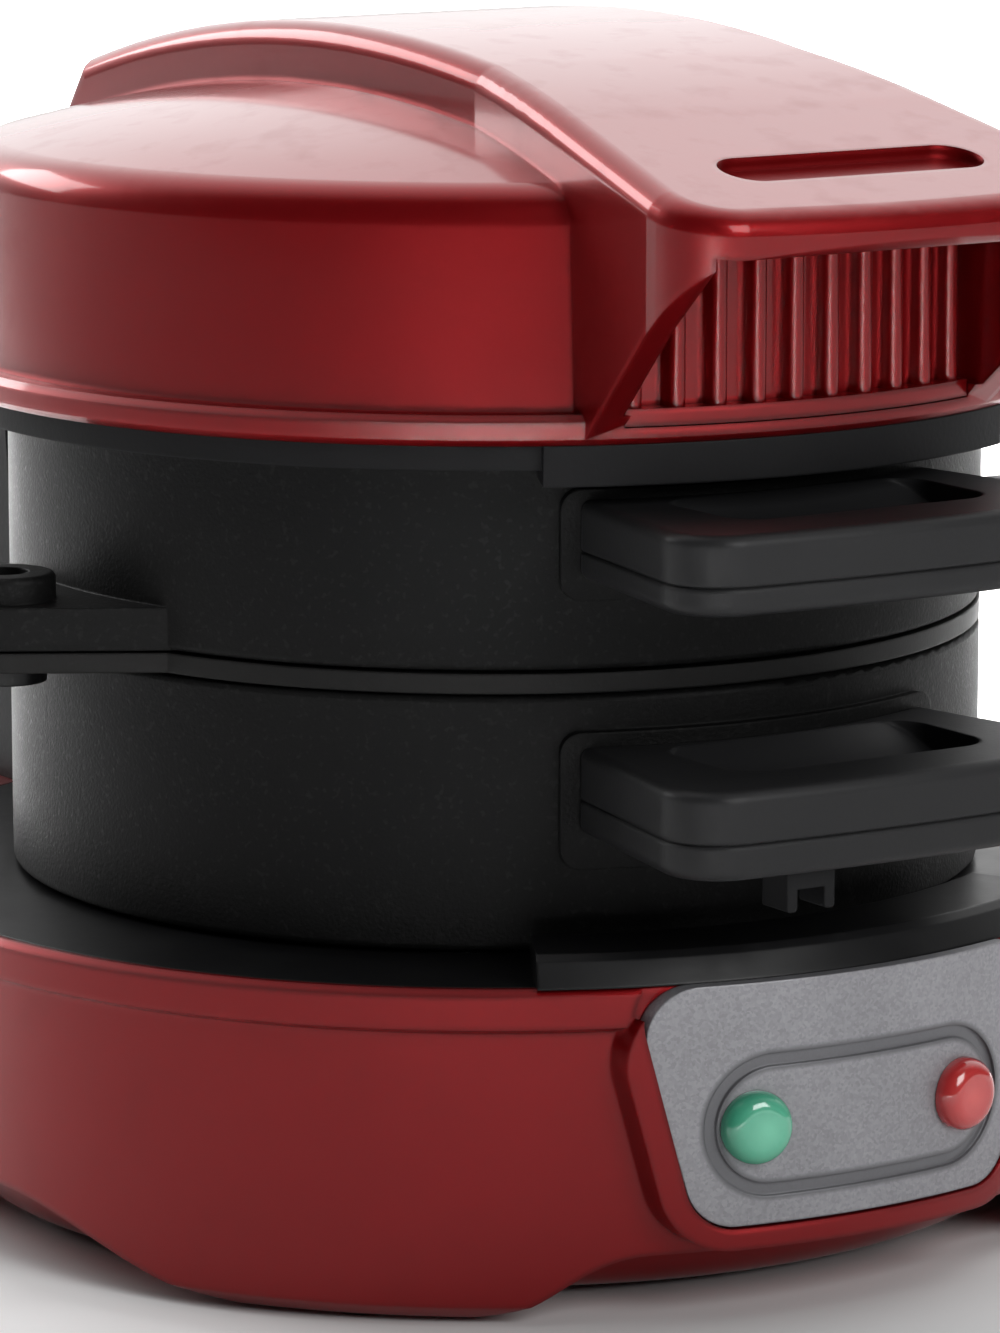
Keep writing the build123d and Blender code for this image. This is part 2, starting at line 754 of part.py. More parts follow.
with BuildPart() as thermal_fuse:
    with BuildSketch(Plane.YZ.offset(fuse_x)):
        with Locations((fuse_y, heater_z - fuse_r)):
            Circle(fuse_r)
    extrude(amount=fuse_length / 2, both=True)
    with BuildSketch(Plane.YZ.offset(fuse_x)):
        with Locations((fuse_y, heater_z - fuse_r)):
            Circle(fuse_r / 4)
    extrude(amount=fuse_length, both=True)
thermal_fuse.part.label = "thermal_fuse"
export_step(thermal_fuse.part, "parts/thermal_fuse.step")

with BuildPart() as terminal_block:
    with BuildSketch(Plane.XY.offset(tub_bottom_z + bottom_cover_thickness)):
        with Locations((block_x, block_y)):
            Rectangle(block_length, block_width)
    extrude(amount=block_height)
    block_z = tub_bottom_z + bottom_cover_thickness + block_height / 2
    with BuildSketch(Plane.XZ.offset(-block_y)):
        with Locations((block_x, block_z)):
            with GridLocations(block_length / 3, 0, 3, 1):
                Circle(block_way_r)
    extrude(amount=block_width, both=True, mode=Mode.SUBTRACT)
terminal_block.part.label = "terminal_block"
export_step(terminal_block.part, "parts/terminal_block.step")

with BuildPart() as cord_grommet:
    with BuildSketch(Plane.XZ.offset(-hinge_block_rear)):
        with Locations((grommet_x, grommet_z)):
            Circle(grommet_flange_r)
    extrude(amount=-grommet_flange_thickness)
    with BuildSketch(Plane.XZ.offset(-hinge_block_rear)):
        with Locations((grommet_x, grommet_z)):
            Circle(grommet_r)
    extrude(amount=base_wall + grommet_flange_thickness)
    with BuildSketch(Plane.XZ.offset(-hinge_block_rear)):
        with Locations((grommet_x, grommet_z)):
            Circle(grommet_bore_r)
    extrude(amount=2 * base_wall, both=True, mode=Mode.SUBTRACT)
cord_grommet.part.label = "cord_grommet"
export_step(cord_grommet.part, "parts/cord_grommet.step")

# ---------------------------------------------------------------- hinge
with BuildPart() as hinge_bracket:
    with BuildSketch(Plane.XY.offset(base_height)):
        with Locations((0, (cheek_front + cheek_rear) / 2)):
            Rectangle(2 * (cheek_x + cheek_width), cheek_rear - cheek_front)
    extrude(amount=bracket_plate_thickness)
    for x in (cheek_x, -cheek_x - cheek_width):
        with BuildSketch(side_plane(x)):
            Polygon(
                (cheek_front, base_height),
                (cheek_rear, base_height),
                (hinge_y + cheek_boss_r, hinge_z),
                (hinge_y - cheek_boss_r, hinge_z),
                align=None,
            )
            with Locations((hinge_y, hinge_z)):
                Circle(cheek_boss_r)
        extrude(amount=cheek_width)
    with BuildSketch(Plane.YZ):
        with Locations((hinge_y, hinge_z)):
            Circle(hinge_pin_r + pin_clearance)
    extrude(amount=2 * cheek_x, both=True, mode=Mode.SUBTRACT)
hinge_bracket.part.label = "hinge_bracket"
export_step(hinge_bracket.part, "parts/hinge_bracket.step")

hinge_end = cheek_x + cheek_width
with BuildPart() as hinge_pin:
    with BuildSketch(side_plane(-hinge_end)):
        with Locations((hinge_y, hinge_z)):
            Circle(hinge_pin_r)
    extrude(amount=2 * hinge_end + 2 * hinge_head_thickness)
    with BuildSketch(side_plane(-hinge_end)):
        with Locations((hinge_y, hinge_z)):
            Circle(hinge_head_r)
    extrude(amount=-hinge_head_thickness)
hinge_pin.part.label = "hinge_pin"
export_step(hinge_pin.part, "parts/hinge_pin.step")

with BuildPart() as hinge_clip:
    with BuildSketch(side_plane(hinge_end)):
        with Locations((hinge_y, hinge_z)):
            Circle(hinge_head_r)
            Circle(hinge_pin_r + pin_clearance, mode=Mode.SUBTRACT)
            with Locations((0, -hinge_head_r)):
                Rectangle(hinge_pin_r, 2 * hinge_head_r, mode=Mode.SUBTRACT)
    extrude(amount=clip_ring_thickness)
hinge_clip.part.label = "hinge_clip"
export_step(hinge_clip.part, "parts/hinge_clip.step")


# ---------------------------------------------------------------- rings
def arm_section(x, outline):
    """Section of a hinge arm at x: its outline in (rear, up) with the bored knuckle."""
    with BuildSketch(side_plane(x)) as section:
        Polygon(*outline, align=None)
        with Locations((hinge_y, hinge_z)):
            Circle(knuckle_r)
            Circle(hinge_pin_r + pin_clearance, mode=Mode.SUBTRACT)
    return section.sketch


def arm_root(slot, radius):
    """How far back an arm starts, so that its whole width is sunk in a round wall."""
    outer = inner_arm_x + slot * arm_spacing + arm_width
    return sqrt(radius**2 - outer**2)


def ring(z, height):
    """Plain ring with softened lips."""
    with BuildPart() as wall:
        with BuildSketch(Plane.XY.offset(z)):
            Circle(ring_outer_r)
            Circle(ring_inner_r, mode=Mode.SUBTRACT)
        extrude(amount=height)
        fillet(wall.edges().filter_by(GeomType.CIRCLE), ring_edge_fillet)
    return wall.part


def flange(z, height):
    """Pad on the front of a ring that its handle stands against."""
    with BuildPart() as pad:
        with BuildSketch(radial_plane(-flange_half_angle, 0, z)):
            with Locations(((ring_middle_r + flange_r) / 2, height / 2)):
                Rectangle(flange_r - ring_middle_r, height)
        revolve(axis=Axis.Z, revolution_arc=2 * flange_half_angle)
        corners = pad.edges().filter_by(GeomType.LINE).filter_by(Axis.Z, reverse=True)
        fillet(corners, flange_corner_r)
    return pad.part


def tongue(split_z):
    """Metal tongue that the two halves of a handle close on, drilled for their screws."""
    root = sqrt(ring_middle_r**2 - tongue_half_width**2)
    with BuildPart() as strip:
        with BuildSketch(Plane.XY.offset(split_z - tongue_thickness / 2)):
            with Locations((0, -(root + tongue_reach) / 2)):
                Rectangle(2 * tongue_half_width, tongue_reach - root)
            with Locations((0, -handle_screw_y)):
                with GridLocations(handle_screw_spacing, 0, 2, 1):
                    Circle(handle_screw_r + fit_gap, mode=Mode.SUBTRACT)
        extrude(amount=tongue_thickness)
    return strip.part


def pivot_ear_plan():
    """Plan of the pivot ear: the boss drawn together with two roots on the ring."""
    with BuildSketch() as plan:
        with Locations((pivot_x, pivot_y)):
            Circle(pivot_ear_r)
        for azimuth in (ear_front_azimuth, ear_rear_azimuth):
            with Locations(around(azimuth, ring_middle_r)):
                Circle(ring_wall / 2 - fit_gap)
        make_hull(plan.edges())
    return plan.sketch


with BuildPart() as bottom_ring:
    add(ring(bottom_ring_z, bottom_ring_height))
    add(flange(bottom_ring_z + bottom_flange_lift, bottom_flange_height))
    add(tongue(bottom_split_z))
    root = arm_root(0, ring_middle_r)
    low_arm = [
        (root, bottom_ring_z + low_arm_lift),
        (low_arm_heel_y, bottom_ring_z + low_arm_lift),
        (low_arm_knee_y, low_arm_knee_z),
        (hinge_y + knuckle_r, hinge_z),
        (hinge_y - knuckle_r, hinge_z),
        (low_arm_knee_y - arm_thickness, low_arm_knee_z + low_arm_rise),
        (low_arm_knee_y - low_arm_shoulder, low_arm_knee_z),
        (root, low_arm_knee_z),
    ]
    for x in arms_at(0):
        extrude(arm_section(x, low_arm), amount=arm_width)
bottom_ring.part.label = "bottom_ring"
export_step(bottom_ring.part, "parts/bottom_ring.step")

with BuildPart() as top_ring:
    add(ring(top_ring_z, top_ring_height))
    add(flange(top_ring_z + top_flange_lift, top_flange_height))
    add(tongue(top_split_z))
    root = arm_root(1, ring_middle_r)
    high_arm = [
        (root, hinge_z - high_arm_drop),
        (hinge_y - knuckle_r, hinge_z - high_arm_drop),
        (hinge_y + knuckle_r * sin(radians(45)), hinge_z - knuckle_r * cos(radians(45))),
        (hinge_y, hinge_z),
        (hinge_y - knuckle_r * sin(radians(45)), hinge_z + knuckle_r * cos(radians(45))),
        (high_arm_neck_y, hinge_z - high_arm_drop + arm_thickness),
        (root, hinge_z - high_arm_drop + arm_thickness),
    ]
    for x in arms_at(1):
        extrude(arm_section(x, high_arm), amount=arm_width)
    # Pivot ear of the cooking plate, with its boss, outside the bore of the ring.
    with BuildSketch(Plane.XY.offset(top_ring_z)):
        add(pivot_ear_plan())
        Circle(ring_middle_r, mode=Mode.SUBTRACT)
    extrude(amount=pivot_ear_thickness)
    with BuildSketch(Plane.XY.offset(top_ring_z + pivot_ear_thickness)):
        with Locations((pivot_x, pivot_y)):
            Circle(pivot_boss_r)
    extrude(amount=pivot_boss_height)
    boss_rim = top_ring.edges().filter_by(GeomType.CIRCLE).filter_by(
        lambda edge: edge.center().Z > pivot_boss_top - fit_gap
        and edge.radius < ring_inner_r
        and edge.arc_center.X < -ring_outer_r
    )
    fillet(boss_rim, pivot_boss_edge_r)
    with BuildSketch(Plane.XY.offset(top_ring_z)):
        with Locations((pivot_x, pivot_y)):
            Circle(pivot_pin_r + pin_clearance)
    extrude(amount=pivot_ear_thickness + pivot_boss_height, mode=Mode.SUBTRACT)
top_ring.part.label = "top_ring"
export_step(top_ring.part, "parts/top_ring.step")

with BuildPart() as plate_pivot_pin:
    with BuildSketch(Plane.XY.offset(plate_z - rest_gap - pivot_head_height)):
        with Locations((pivot_x, pivot_y)):
            Circle(pivot_head_r)
    extrude(amount=pivot_head_height)
    with BuildSketch(Plane.XY.offset(plate_z - rest_gap)):
        with Locations((pivot_x, pivot_y)):
            Circle(pivot_pin_r)
    extrude(amount=pivot_boss_top - pivot_dimple_depth - plate_z + rest_gap)
plate_pivot_pin.part.label = "plate_pivot_pin"
export_step(plate_pivot_pin.part, "parts/plate_pivot_pin.step")


# ---------------------------------------------------------------- ring handles
def thumb_groove(z):
    """Dish across the top of a handle, rounded at both ends."""
    middle = -flange_r - thumb_groove_setback
    half = thumb_groove_length / 2
    with BuildPart() as dish:
        with BuildSketch(side_plane(-thumb_groove_half_width)):
            with BuildLine():
                ThreePointArc(
                    (middle - half, z), (middle, z - thumb_groove_depth), (middle + half, z)
                )
                Polyline(
                    (middle + half, z),
                    (middle + half, z + thumb_groove_depth),
                    (middle - half, z + thumb_groove_depth),
                    (middle - half, z),
                )
            make_face()
        extrude(amount=2 * thumb_groove_half_width)
        with BuildSketch(Plane.XY.offset(z - thumb_groove_depth)):
            with Locations((0, middle)):
                RectangleRounded(2 * thumb_groove_half_width, thumb_groove_length, half / 2)
        extrude(amount=2 * thumb_groove_depth, mode=Mode.INTERSECT)
    return dish.part


def in_front_of_flange(edge):
    """Whether an edge of a handle lies clear of the ring's flange."""
    return edge.center().Y < -flange_r - flange_thickness


def handle_half(split_z, height):
    """Half of a ring handle, from the joint of its halves by a signed height."""
    way = 1 if height > 0 else -1
    corner_y = handle_reach - handle_bow
    with BuildPart() as half:
        with BuildSketch(Plane.XY.offset(split_z)):
            with BuildLine():
                Polyline(
                    (handle_front_half_width, -corner_y),
                    (handle_root_half_width, -ring_inner_r),
                    (-handle_root_half_width, -ring_inner_r),
                    (-handle_front_half_width, -corner_y),
                )
                ThreePointArc(
                    (-handle_front_half_width, -corner_y),
                    (0, -handle_reach),
                    (handle_front_half_width, -corner_y),
                )
            make_face()
            fillet(vertices().group_by(Axis.Y)[0], handle_corner_r)
            Circle(flange_r + fit_gap, mode=Mode.SUBTRACT)
        extrude(amount=height)
        levels = half.edges().filter_by(in_front_of_flange).group_by(Axis.Z)
        fillet(levels[-1] if height > 0 else levels[0], handle_edge_r)
        levels = half.edges().filter_by(in_front_of_flange).group_by(Axis.Z)
        chamfer(levels[0] if height > 0 else levels[-1], handle_seam)
        # Pocket for the tongue of the ring.
        with BuildSketch(Plane.XY.offset(split_z)):
            with Locations((0, -tongue_reach / 2)):
                Rectangle(2 * (tongue_half_width + fit_gap), tongue_reach + 2 * fit_gap)
        extrude(amount=way * (tongue_thickness / 2 + fit_gap), mode=Mode.SUBTRACT)
    return half.part


def upper_handle(split_z, height):
    """Upper half with its thumb groove and blind screw holes."""
    with BuildPart() as half:
        add(handle_half(split_z, height))
        add(thumb_groove(split_z + height), mode=Mode.SUBTRACT)
        with BuildSketch(Plane.XY.offset(split_z)):
            with Locations((0, -handle_screw_y)):
                with GridLocations(handle_screw_spacing, 0, 2, 1):
                    Circle(handle_screw_r + fit_gap)
        extrude(amount=handle_screw_reach + fit_gap, mode=Mode.SUBTRACT)
    return half.part


def lower_handle(split_z, height):
    """Lower half with counterbored screw holes from below."""
    with BuildPart() as half:
        add(handle_half(split_z, -height))
        with Locations(Plane(origin=(0, -handle_screw_y, split_z - height), z_dir=(0, 0, -1))):
            with GridLocations(handle_screw_spacing, 0, 2, 1):
                CounterBoreHole(
                    handle_screw_r + fit_gap,
                    handle_screw_head_r + fit_gap,
                    handle_screw_head_height,
                )
    return half.part


def handle_screws(split_z, height):
    """The two screws of a handle, from the bottom of its lower half."""
    with BuildPart() as screws:
        with BuildSketch(Plane.XY.offset(split_z - height)):
            with Locations((0, -handle_screw_y)):
                with GridLocations(handle_screw_spacing, 0, 2, 1):
                    Circle(handle_screw_head_r)
        extrude(amount=handle_screw_head_height)
        with BuildSketch(Plane.XY.offset(split_z - height)):
            with Locations((0, -handle_screw_y)):
                with GridLocations(handle_screw_spacing, 0, 2, 1):
                    Circle(handle_screw_r)
        extrude(amount=height + handle_screw_reach)
    return screws.part


top_handle_upper = upper_handle(top_split_z, top_handle_upper_height)
top_handle_upper.label = "top_handle_upper"
export_step(top_handle_upper, "parts/top_handle_upper.step")

top_handle_lower = lower_handle(top_split_z, top_handle_lower_height)
top_handle_lower.label = "top_handle_lower"
export_step(top_handle_lower, "parts/top_handle_lower.step")

top_handle_screws = handle_screws(top_split_z, top_handle_lower_height)
top_handle_screws.label = "top_handle_screws"
export_step(top_handle_screws, "parts/top_handle_screws.step")

bottom_handle_upper = upper_handle(bottom_split_z, bottom_handle_upper_height)
bottom_handle_upper.label = "bottom_handle_upper"
export_step(bottom_handle_upper, "parts/bottom_handle_upper.step")

bottom_handle_lower = lower_handle(bottom_split_z, bottom_handle_lower_height)
bottom_handle_lower.label = "bottom_handle_lower"
export_step(bottom_handle_lower, "parts/bottom_handle_lower.step")

bottom_handle_screws = handle_screws(bottom_split_z, bottom_handle_lower_height)
bottom_handle_screws.label = "bottom_handle_screws"
export_step(bottom_handle_screws, "parts/bottom_handle_screws.step")

# Small clip under the front of the lower handle, with two prongs that hang from it.
clip_z = bottom_split_z - bottom_handle_lower_height
with BuildPart() as handle_clip:
    with BuildSketch(Plane.XY.offset(clip_z)):
        with Locations((clip_x, -clip_y)):
            Rectangle(clip_width, clip_depth)
    extrude(amount=-clip_height)
    with BuildSketch(Plane.XY.offset(clip_z - clip_height)):
        with Locations((clip_x, -clip_y)):
            with GridLocations(clip_width - clip_prong_width, 0, 2, 1):
                Rectangle(clip_prong_width, clip_depth)
    extrude(amount=-clip_prong_length)
    fillet(handle_clip.edges().group_by(Axis.Z)[0].filter_by(Axis.Y), clip_prong_width / 3)
handle_clip.part.label = "handle_clip"
export_step(handle_clip.part, "parts/handle_clip.step")

# ---------------------------------------------------------------- cooking plate
with BuildPart() as cooking_plate:
    with BuildSketch(Plane.XY.offset(plate_z)):
        Circle(ring_outer_r)
        add(pivot_ear_plan())
        with Locations((tang_reach / 2, 0)):
            Rectangle(tang_reach, 2 * tang_half_width)
        with Locations((pivot_x, pivot_y)):
            Circle(pivot_pin_r + pin_clearance, mode=Mode.SUBTRACT)
        with Locations((plate_screw_x, 0)):
            Circle(handle_screw_r + fit_gap, mode=Mode.SUBTRACT)
    extrude(amount=plate_thickness)
    with BuildSketch(radial_plane(0, 0, plate_top)):
        with BuildLine():
            Polyline(
                (0, 0),
                (plate_dish_r, 0),
                (plate_dish_r - 2 * plate_dish_depth, -plate_dish_depth),
                (0, -plate_dish_depth),
                close=True,
            )
        make_face()
    revolve(axis=Axis.Z, mode=Mode.SUBTRACT)
cooking_plate.part.label = "cooking_plate"
export_step(cooking_plate.part, "parts/cooking_plate.step")


def plate_handle_plan():
    """Plan of the plate's handle: rounded at its free end, square where it meets the ring."""
    with BuildSketch() as plan:
        with Locations((plate_handle_start + plate_handle_length / 2, 0)):
            Rectangle(plate_handle_length, 2 * plate_handle_half_width)
        fillet(plan.vertices().group_by(Axis.X)[-1], plate_handle_corner_r)
        fillet(plan.vertices().group_by(Axis.X)[0], plate_handle_edge_r)
    return plan.sketch


with BuildPart() as plate_handle_upper:
    with BuildSketch(Plane.XY.offset(plate_z)):
        add(plate_handle_plan())
    extrude(amount=plate_thickness + plate_handle_upper_height)
    fillet(plate_handle_upper.edges().group_by(Axis.Z)[-1], plate_handle_edge_r)
    with BuildSketch(Plane.XY.offset(plate_z)):
        with Locations((tang_reach / 2, 0)):
            Rectangle(tang_reach + 2 * fit_gap, 2 * (tang_half_width + fit_gap))
    extrude(amount=plate_thickness + fit_gap, mode=Mode.SUBTRACT)
    with BuildSketch(Plane.XY.offset(plate_z)):
        with Locations((plate_screw_x, 0)):
            Circle(handle_screw_r + fit_gap)
    extrude(amount=plate_thickness + handle_screw_reach + fit_gap, mode=Mode.SUBTRACT)
plate_handle_upper.part.label = "plate_handle_upper"
export_step(plate_handle_upper.part, "parts/plate_handle_upper.step")

with BuildPart() as plate_handle_lower:
    with BuildSketch(Plane.XY.offset(plate_z)):
        add(plate_handle_plan())
    extrude(amount=-plate_handle_lower_height)
    chamfer(plate_handle_lower.edges().group_by(Axis.Z)[0], handle_seam)
    with Locations(
        Plane(origin=(plate_screw_x, 0, plate_z - plate_handle_lower_height), z_dir=(0, 0, -1))
    ):
        CounterBoreHole(
            handle_screw_r + fit_gap, handle_screw_head_r + fit_gap, handle_screw_head_height
        )
plate_handle_lower.part.label = "plate_handle_lower"
export_step(plate_handle_lower.part, "parts/plate_handle_lower.step")

with BuildPart() as plate_handle_screw:
    with BuildSketch(Plane.XY.offset(plate_z - plate_handle_lower_height)):
        with Locations((plate_screw_x, 0)):
            Circle(handle_screw_head_r)
    extrude(amount=handle_screw_head_height)
    with BuildSketch(Plane.XY.offset(plate_z - plate_handle_lower_height)):
        with Locations((plate_screw_x, 0)):
            Circle(handle_screw_r)
    extrude(amount=plate_handle_lower_height + plate_thickness + handle_screw_reach)
plate_handle_screw.part.label = "plate_handle_screw"
export_step(plate_handle_screw.part, "parts/plate_handle_screw.step")


# ---------------------------------------------------------------- cover
def cover_body(inset):
    """Half section of the round body, from its lower edge to the crown, moved in by the inset."""
    foot_r = cover_wall_foot_r - inset
    top_r = cover_wall_top_r - inset
    shoulder_z = cover_z + cover_wall_height - inset
    crown_z = shoulder_z + cover_crown
    crown_r = (top_r**2 + cover_crown**2) / (2 * cover_crown)
    with BuildSketch(radial_plane(90)) as profile:
        with BuildLine():
            Polyline((0, cover_z), (foot_r, cover_z), (top_r, shoulder_z))
            RadiusArc((top_r, shoulder_z), (0, crown_z), -crown_r)
            Line((0, crown_z), (0, cover_z))
        make_face()
        fillet(profile.vertices().group_by(Axis.Y)[1], cover_shoulder_r)
    return profile.sketch


def ridge_plan(inset):
    """Plan of the ridge: straight sides that flare out to the lip at the front."""
    half = ridge_half_width - inset
    front_half = lip_half_width - inset
    corner_y = lip_bow + inset - lip_reach
    with BuildSketch() as plan:
        with BuildLine():
            Polyline(
                (front_half, corner_y),
                (front_half, -lip_flare_end),
                (half, -lip_flare_start),
                (half, ridge_rear - inset),
                (-half, ridge_rear - inset),
                (-half, -lip_flare_start),
                (-front_half, -lip_flare_end),
                (-front_half, corner_y),
            )
            ThreePointArc((-front_half, corner_y), (0, inset - lip_reach), (front_half, corner_y))
        make_face()
        fillet(plan.vertices().group_by(Axis.Y)[0], lip_corner_r - inset)
    return plan.sketch


def ridge_level(y, inset=0.0):
    """Height of the curved back of the ridge at a distance from the axis."""
    sag = ridge_top_r - sqrt(ridge_top_r**2 - y**2)
    return cover_z + ridge_peak - inset - sag


lip_slope = lip_neck_y / sqrt(ridge_top_r**2 - lip_neck_y**2)


def lip_level(reach):
    """Height of the top of the lip at a distance in front of the axis."""
    return ridge_level(lip_neck_y) - lip_slope * (reach - lip_neck_y)


def ridge(inset):
    """Ridge over the crown, with the lip and the slanting front of its gussets."""
    rear = ridge_rear - inset
    rear_top = ridge_rear - ridge_facet - inset
    with BuildPart() as bar:
        with BuildSketch(side_plane(-lip_half_width - ridge_edge_r)):
            with BuildLine():
                ThreePointArc(
                    (rear_top, ridge_level(rear_top, inset)),
                    (0, ridge_level(0, inset)),
                    (-lip_neck_y, ridge_level(lip_neck_y, inset)),
                )
                Polyline(
                    (-lip_neck_y, ridge_level(lip_neck_y, inset)),
                    (-lip_reach, lip_level(lip_reach) - inset),
                    (-lip_reach, cover_z + lip_foot_height),
                    (-gusset_foot_y, cover_z),
                    (rear, cover_z),
                    (rear, cover_z + ridge_rear_height),
                    (rear_top, ridge_level(rear_top, inset)),
                )
            make_face()
        extrude(amount=2 * (lip_half_width + ridge_edge_r))
        with BuildSketch(Plane.XY.offset(cover_z)):
            add(ridge_plan(inset))
        extrude(amount=2 * ridge_peak, mode=Mode.INTERSECT)
    return bar


with BuildPart() as cover_hollow:
    # Space inside the cover, with its screw bosses left standing above the liner.
    add(ridge(cover_wall).part)
    with BuildSketch(Plane.XY.offset(cover_z)):
        Circle(cover_wall_top_r - cover_wall)
    extrude(amount=2 * ridge_peak, mode=Mode.INTERSECT)
    revolve(cover_body(cover_wall), axis=Axis.Z)
    with BuildSketch(Plane.XY.offset(liner_top_z)):
        with PolarLocations(cover_screw_circle_r, 4, start_angle=45):
            Circle(cover_boss_r)
    extrude(amount=cover_boss_height, mode=Mode.SUBTRACT)

with BuildPart() as lip_pocket:
    # Finger space under the lip, open to the front between the two gussets.
    sill_z = cover_z + cover_rim_height
    with BuildSketch(side_plane(-lip_half_width)):
        Polygon(
            (0, sill_z),
            (0, lip_level(0) - lip_thickness),
            (-2 * lip_reach, lip_level(2 * lip_reach) - lip_thickness),
            (-2 * lip_reach, sill_z),
            align=None,
        )
    extrude(amount=2 * lip_half_width)
    with BuildSketch(Plane.XY.offset(sill_z)):
        add(ridge_plan(gusset_wall))
        with Locations((0, -lip_reach)):
            Rectangle(2 * (lip_half_width - gusset_wall), 2 * (lip_reach - lip_flare_end))
        Circle(cover_wall_foot_r, mode=Mode.SUBTRACT)
        with Locations((0, cover_rim_r)):
            Rectangle(2 * cover_rim_r, 2 * cover_rim_r, mode=Mode.SUBTRACT)
    extrude(amount=2 * ridge_peak, mode=Mode.INTERSECT)

with BuildPart() as cover_ridge:
    add(ridge(0).part)
    crest = cover_ridge.faces().filter_by(lambda face: face.normal_at().Z > 0.5)
    # The line across the crest, where its curve runs into the lip, isn't an edge to round.
    rim = crest.edges().filter_by(
        lambda edge: abs(edge.center().X) > ridge_edge_r
        or abs(edge.center().Y + lip_neck_y) > ridge_edge_r
    )
    fillet(rim, ridge_edge_r)

with BuildPart() as cover_shell:
    revolve(cover_body(0), axis=Axis.Z)
    # Rim that runs round the lower edge.
    with BuildSketch(radial_plane(90)):
        with BuildLine():
            Polyline(
                (0, cover_z),
                (cover_rim_r - rim_chamfer, cover_z),
                (cover_rim_r, cover_z + rim_chamfer),
                (cover_rim_r, cover_z + cover_rim_height - rim_chamfer),
                (cover_rim_r - rim_chamfer, cover_z + cover_rim_height),
                (0, cover_z + cover_rim_height),
                close=True,
            )
        make_face()
    revolve(axis=Axis.Z)
    add(cover_ridge.part)
    add(cover_hollow.part, mode=Mode.SUBTRACT)
    add(lip_pocket.part, mode=Mode.SUBTRACT)
    # Window for the grille, and the screw holes up into the bosses.
    with BuildSketch(Plane.XY.offset(grille_z - fit_gap)):
        with Locations((0, -cover_rim_r)):
            Rectangle(2 * (grille_half_width + fit_gap), 2 * (cover_rim_r - window_rear_y))
    extrude(amount=grille_height + 2 * fit_gap, mode=Mode.SUBTRACT)
    with BuildSketch(Plane.XY.offset(cover_z)):
        with PolarLocations(cover_screw_circle_r, 4, start_angle=45):
            Circle(screw_r + fit_gap)
    extrude(amount=liner_top_z - cover_z + screw_length - liner_web, mode=Mode.SUBTRACT)
    # Holes for the screws of the hinge yoke, through the rear face of the ridge.
    with BuildSketch(Plane.XZ.offset(-ridge_rear)):
        with Locations((0, yoke_screw_z)):
            with GridLocations(yoke_screw_spacing, 0, 2, 1):
                Circle(screw_r + fit_gap)
    extrude(amount=2 * cover_wall, mode=Mode.SUBTRACT)
    # Shallow slot across the top of the lip.
    lip_top = Plane(
        origin=(0, -slot_reach, lip_level(slot_reach)), x_dir=(1, 0, 0), z_dir=(0, -lip_slope, 1)
    )
    with BuildSketch(lip_top):
        SlotOverall(slot_length, slot_width)
    extrude(amount=-slot_depth, mode=Mode.SUBTRACT)
cover_shell.part.label = "cover_shell"
export_step(cover_shell.part, "parts/cover_shell.step")

with BuildPart() as cover_yoke:
    # Plate on the rear face of the ridge, with an arm at each end that reaches down to the pin.
    yoke_arm = [
        (ridge_rear, cover_z + yoke_arm_lift),
        (hinge_y - knuckle_r, cover_z + yoke_arm_lift),
        (hinge_y - knuckle_r, hinge_z),
        (hinge_y + knuckle_r, hinge_z),
        (hinge_y + knuckle_r, cover_z + yoke_arm_lift),
        (yoke_back, cover_z + yoke_height),
        (ridge_rear, cover_z + yoke_height),
    ]
    for x in arms_at(2):
        extrude(arm_section(x, yoke_arm), amount=arm_width)
    with BuildSketch(Plane.XY.offset(cover_z + cover_rim_height + rest_gap)):
        with Locations((0, (ridge_rear + yoke_back) / 2)):
            Rectangle(2 * inner_arm_x + 4 * arm_spacing + arm_width, yoke_thickness)
    extrude(amount=yoke_height - cover_rim_height - rest_gap)
    with Locations(Plane(origin=(0, yoke_back, yoke_screw_z), x_dir=(1, 0, 0), z_dir=(0, 1, 0))):
        with GridLocations(yoke_screw_spacing, 0, 2, 1):
            CounterBoreHole(screw_r + fit_gap, screw_head_r + fit_gap, screw_head_height)
cover_yoke.part.label = "cover_yoke"
export_step(cover_yoke.part, "parts/cover_yoke.step")

with BuildPart() as yoke_screws:
    with BuildSketch(Plane.XZ.offset(-yoke_back)):
        with Locations((0, yoke_screw_z)):
            with GridLocations(yoke_screw_spacing, 0, 2, 1):
                Circle(screw_head_r)
    extrude(amount=screw_head_height)
    with BuildSketch(Plane.XZ.offset(-yoke_back)):
        with Locations((0, yoke_screw_z)):
            with GridLocations(yoke_screw_spacing, 0, 2, 1):
                Circle(screw_r)
    extrude(amount=screw_length)
yoke_screws.part.label = "yoke_screws"
export_step(yoke_screws.part, "parts/yoke_screws.step")

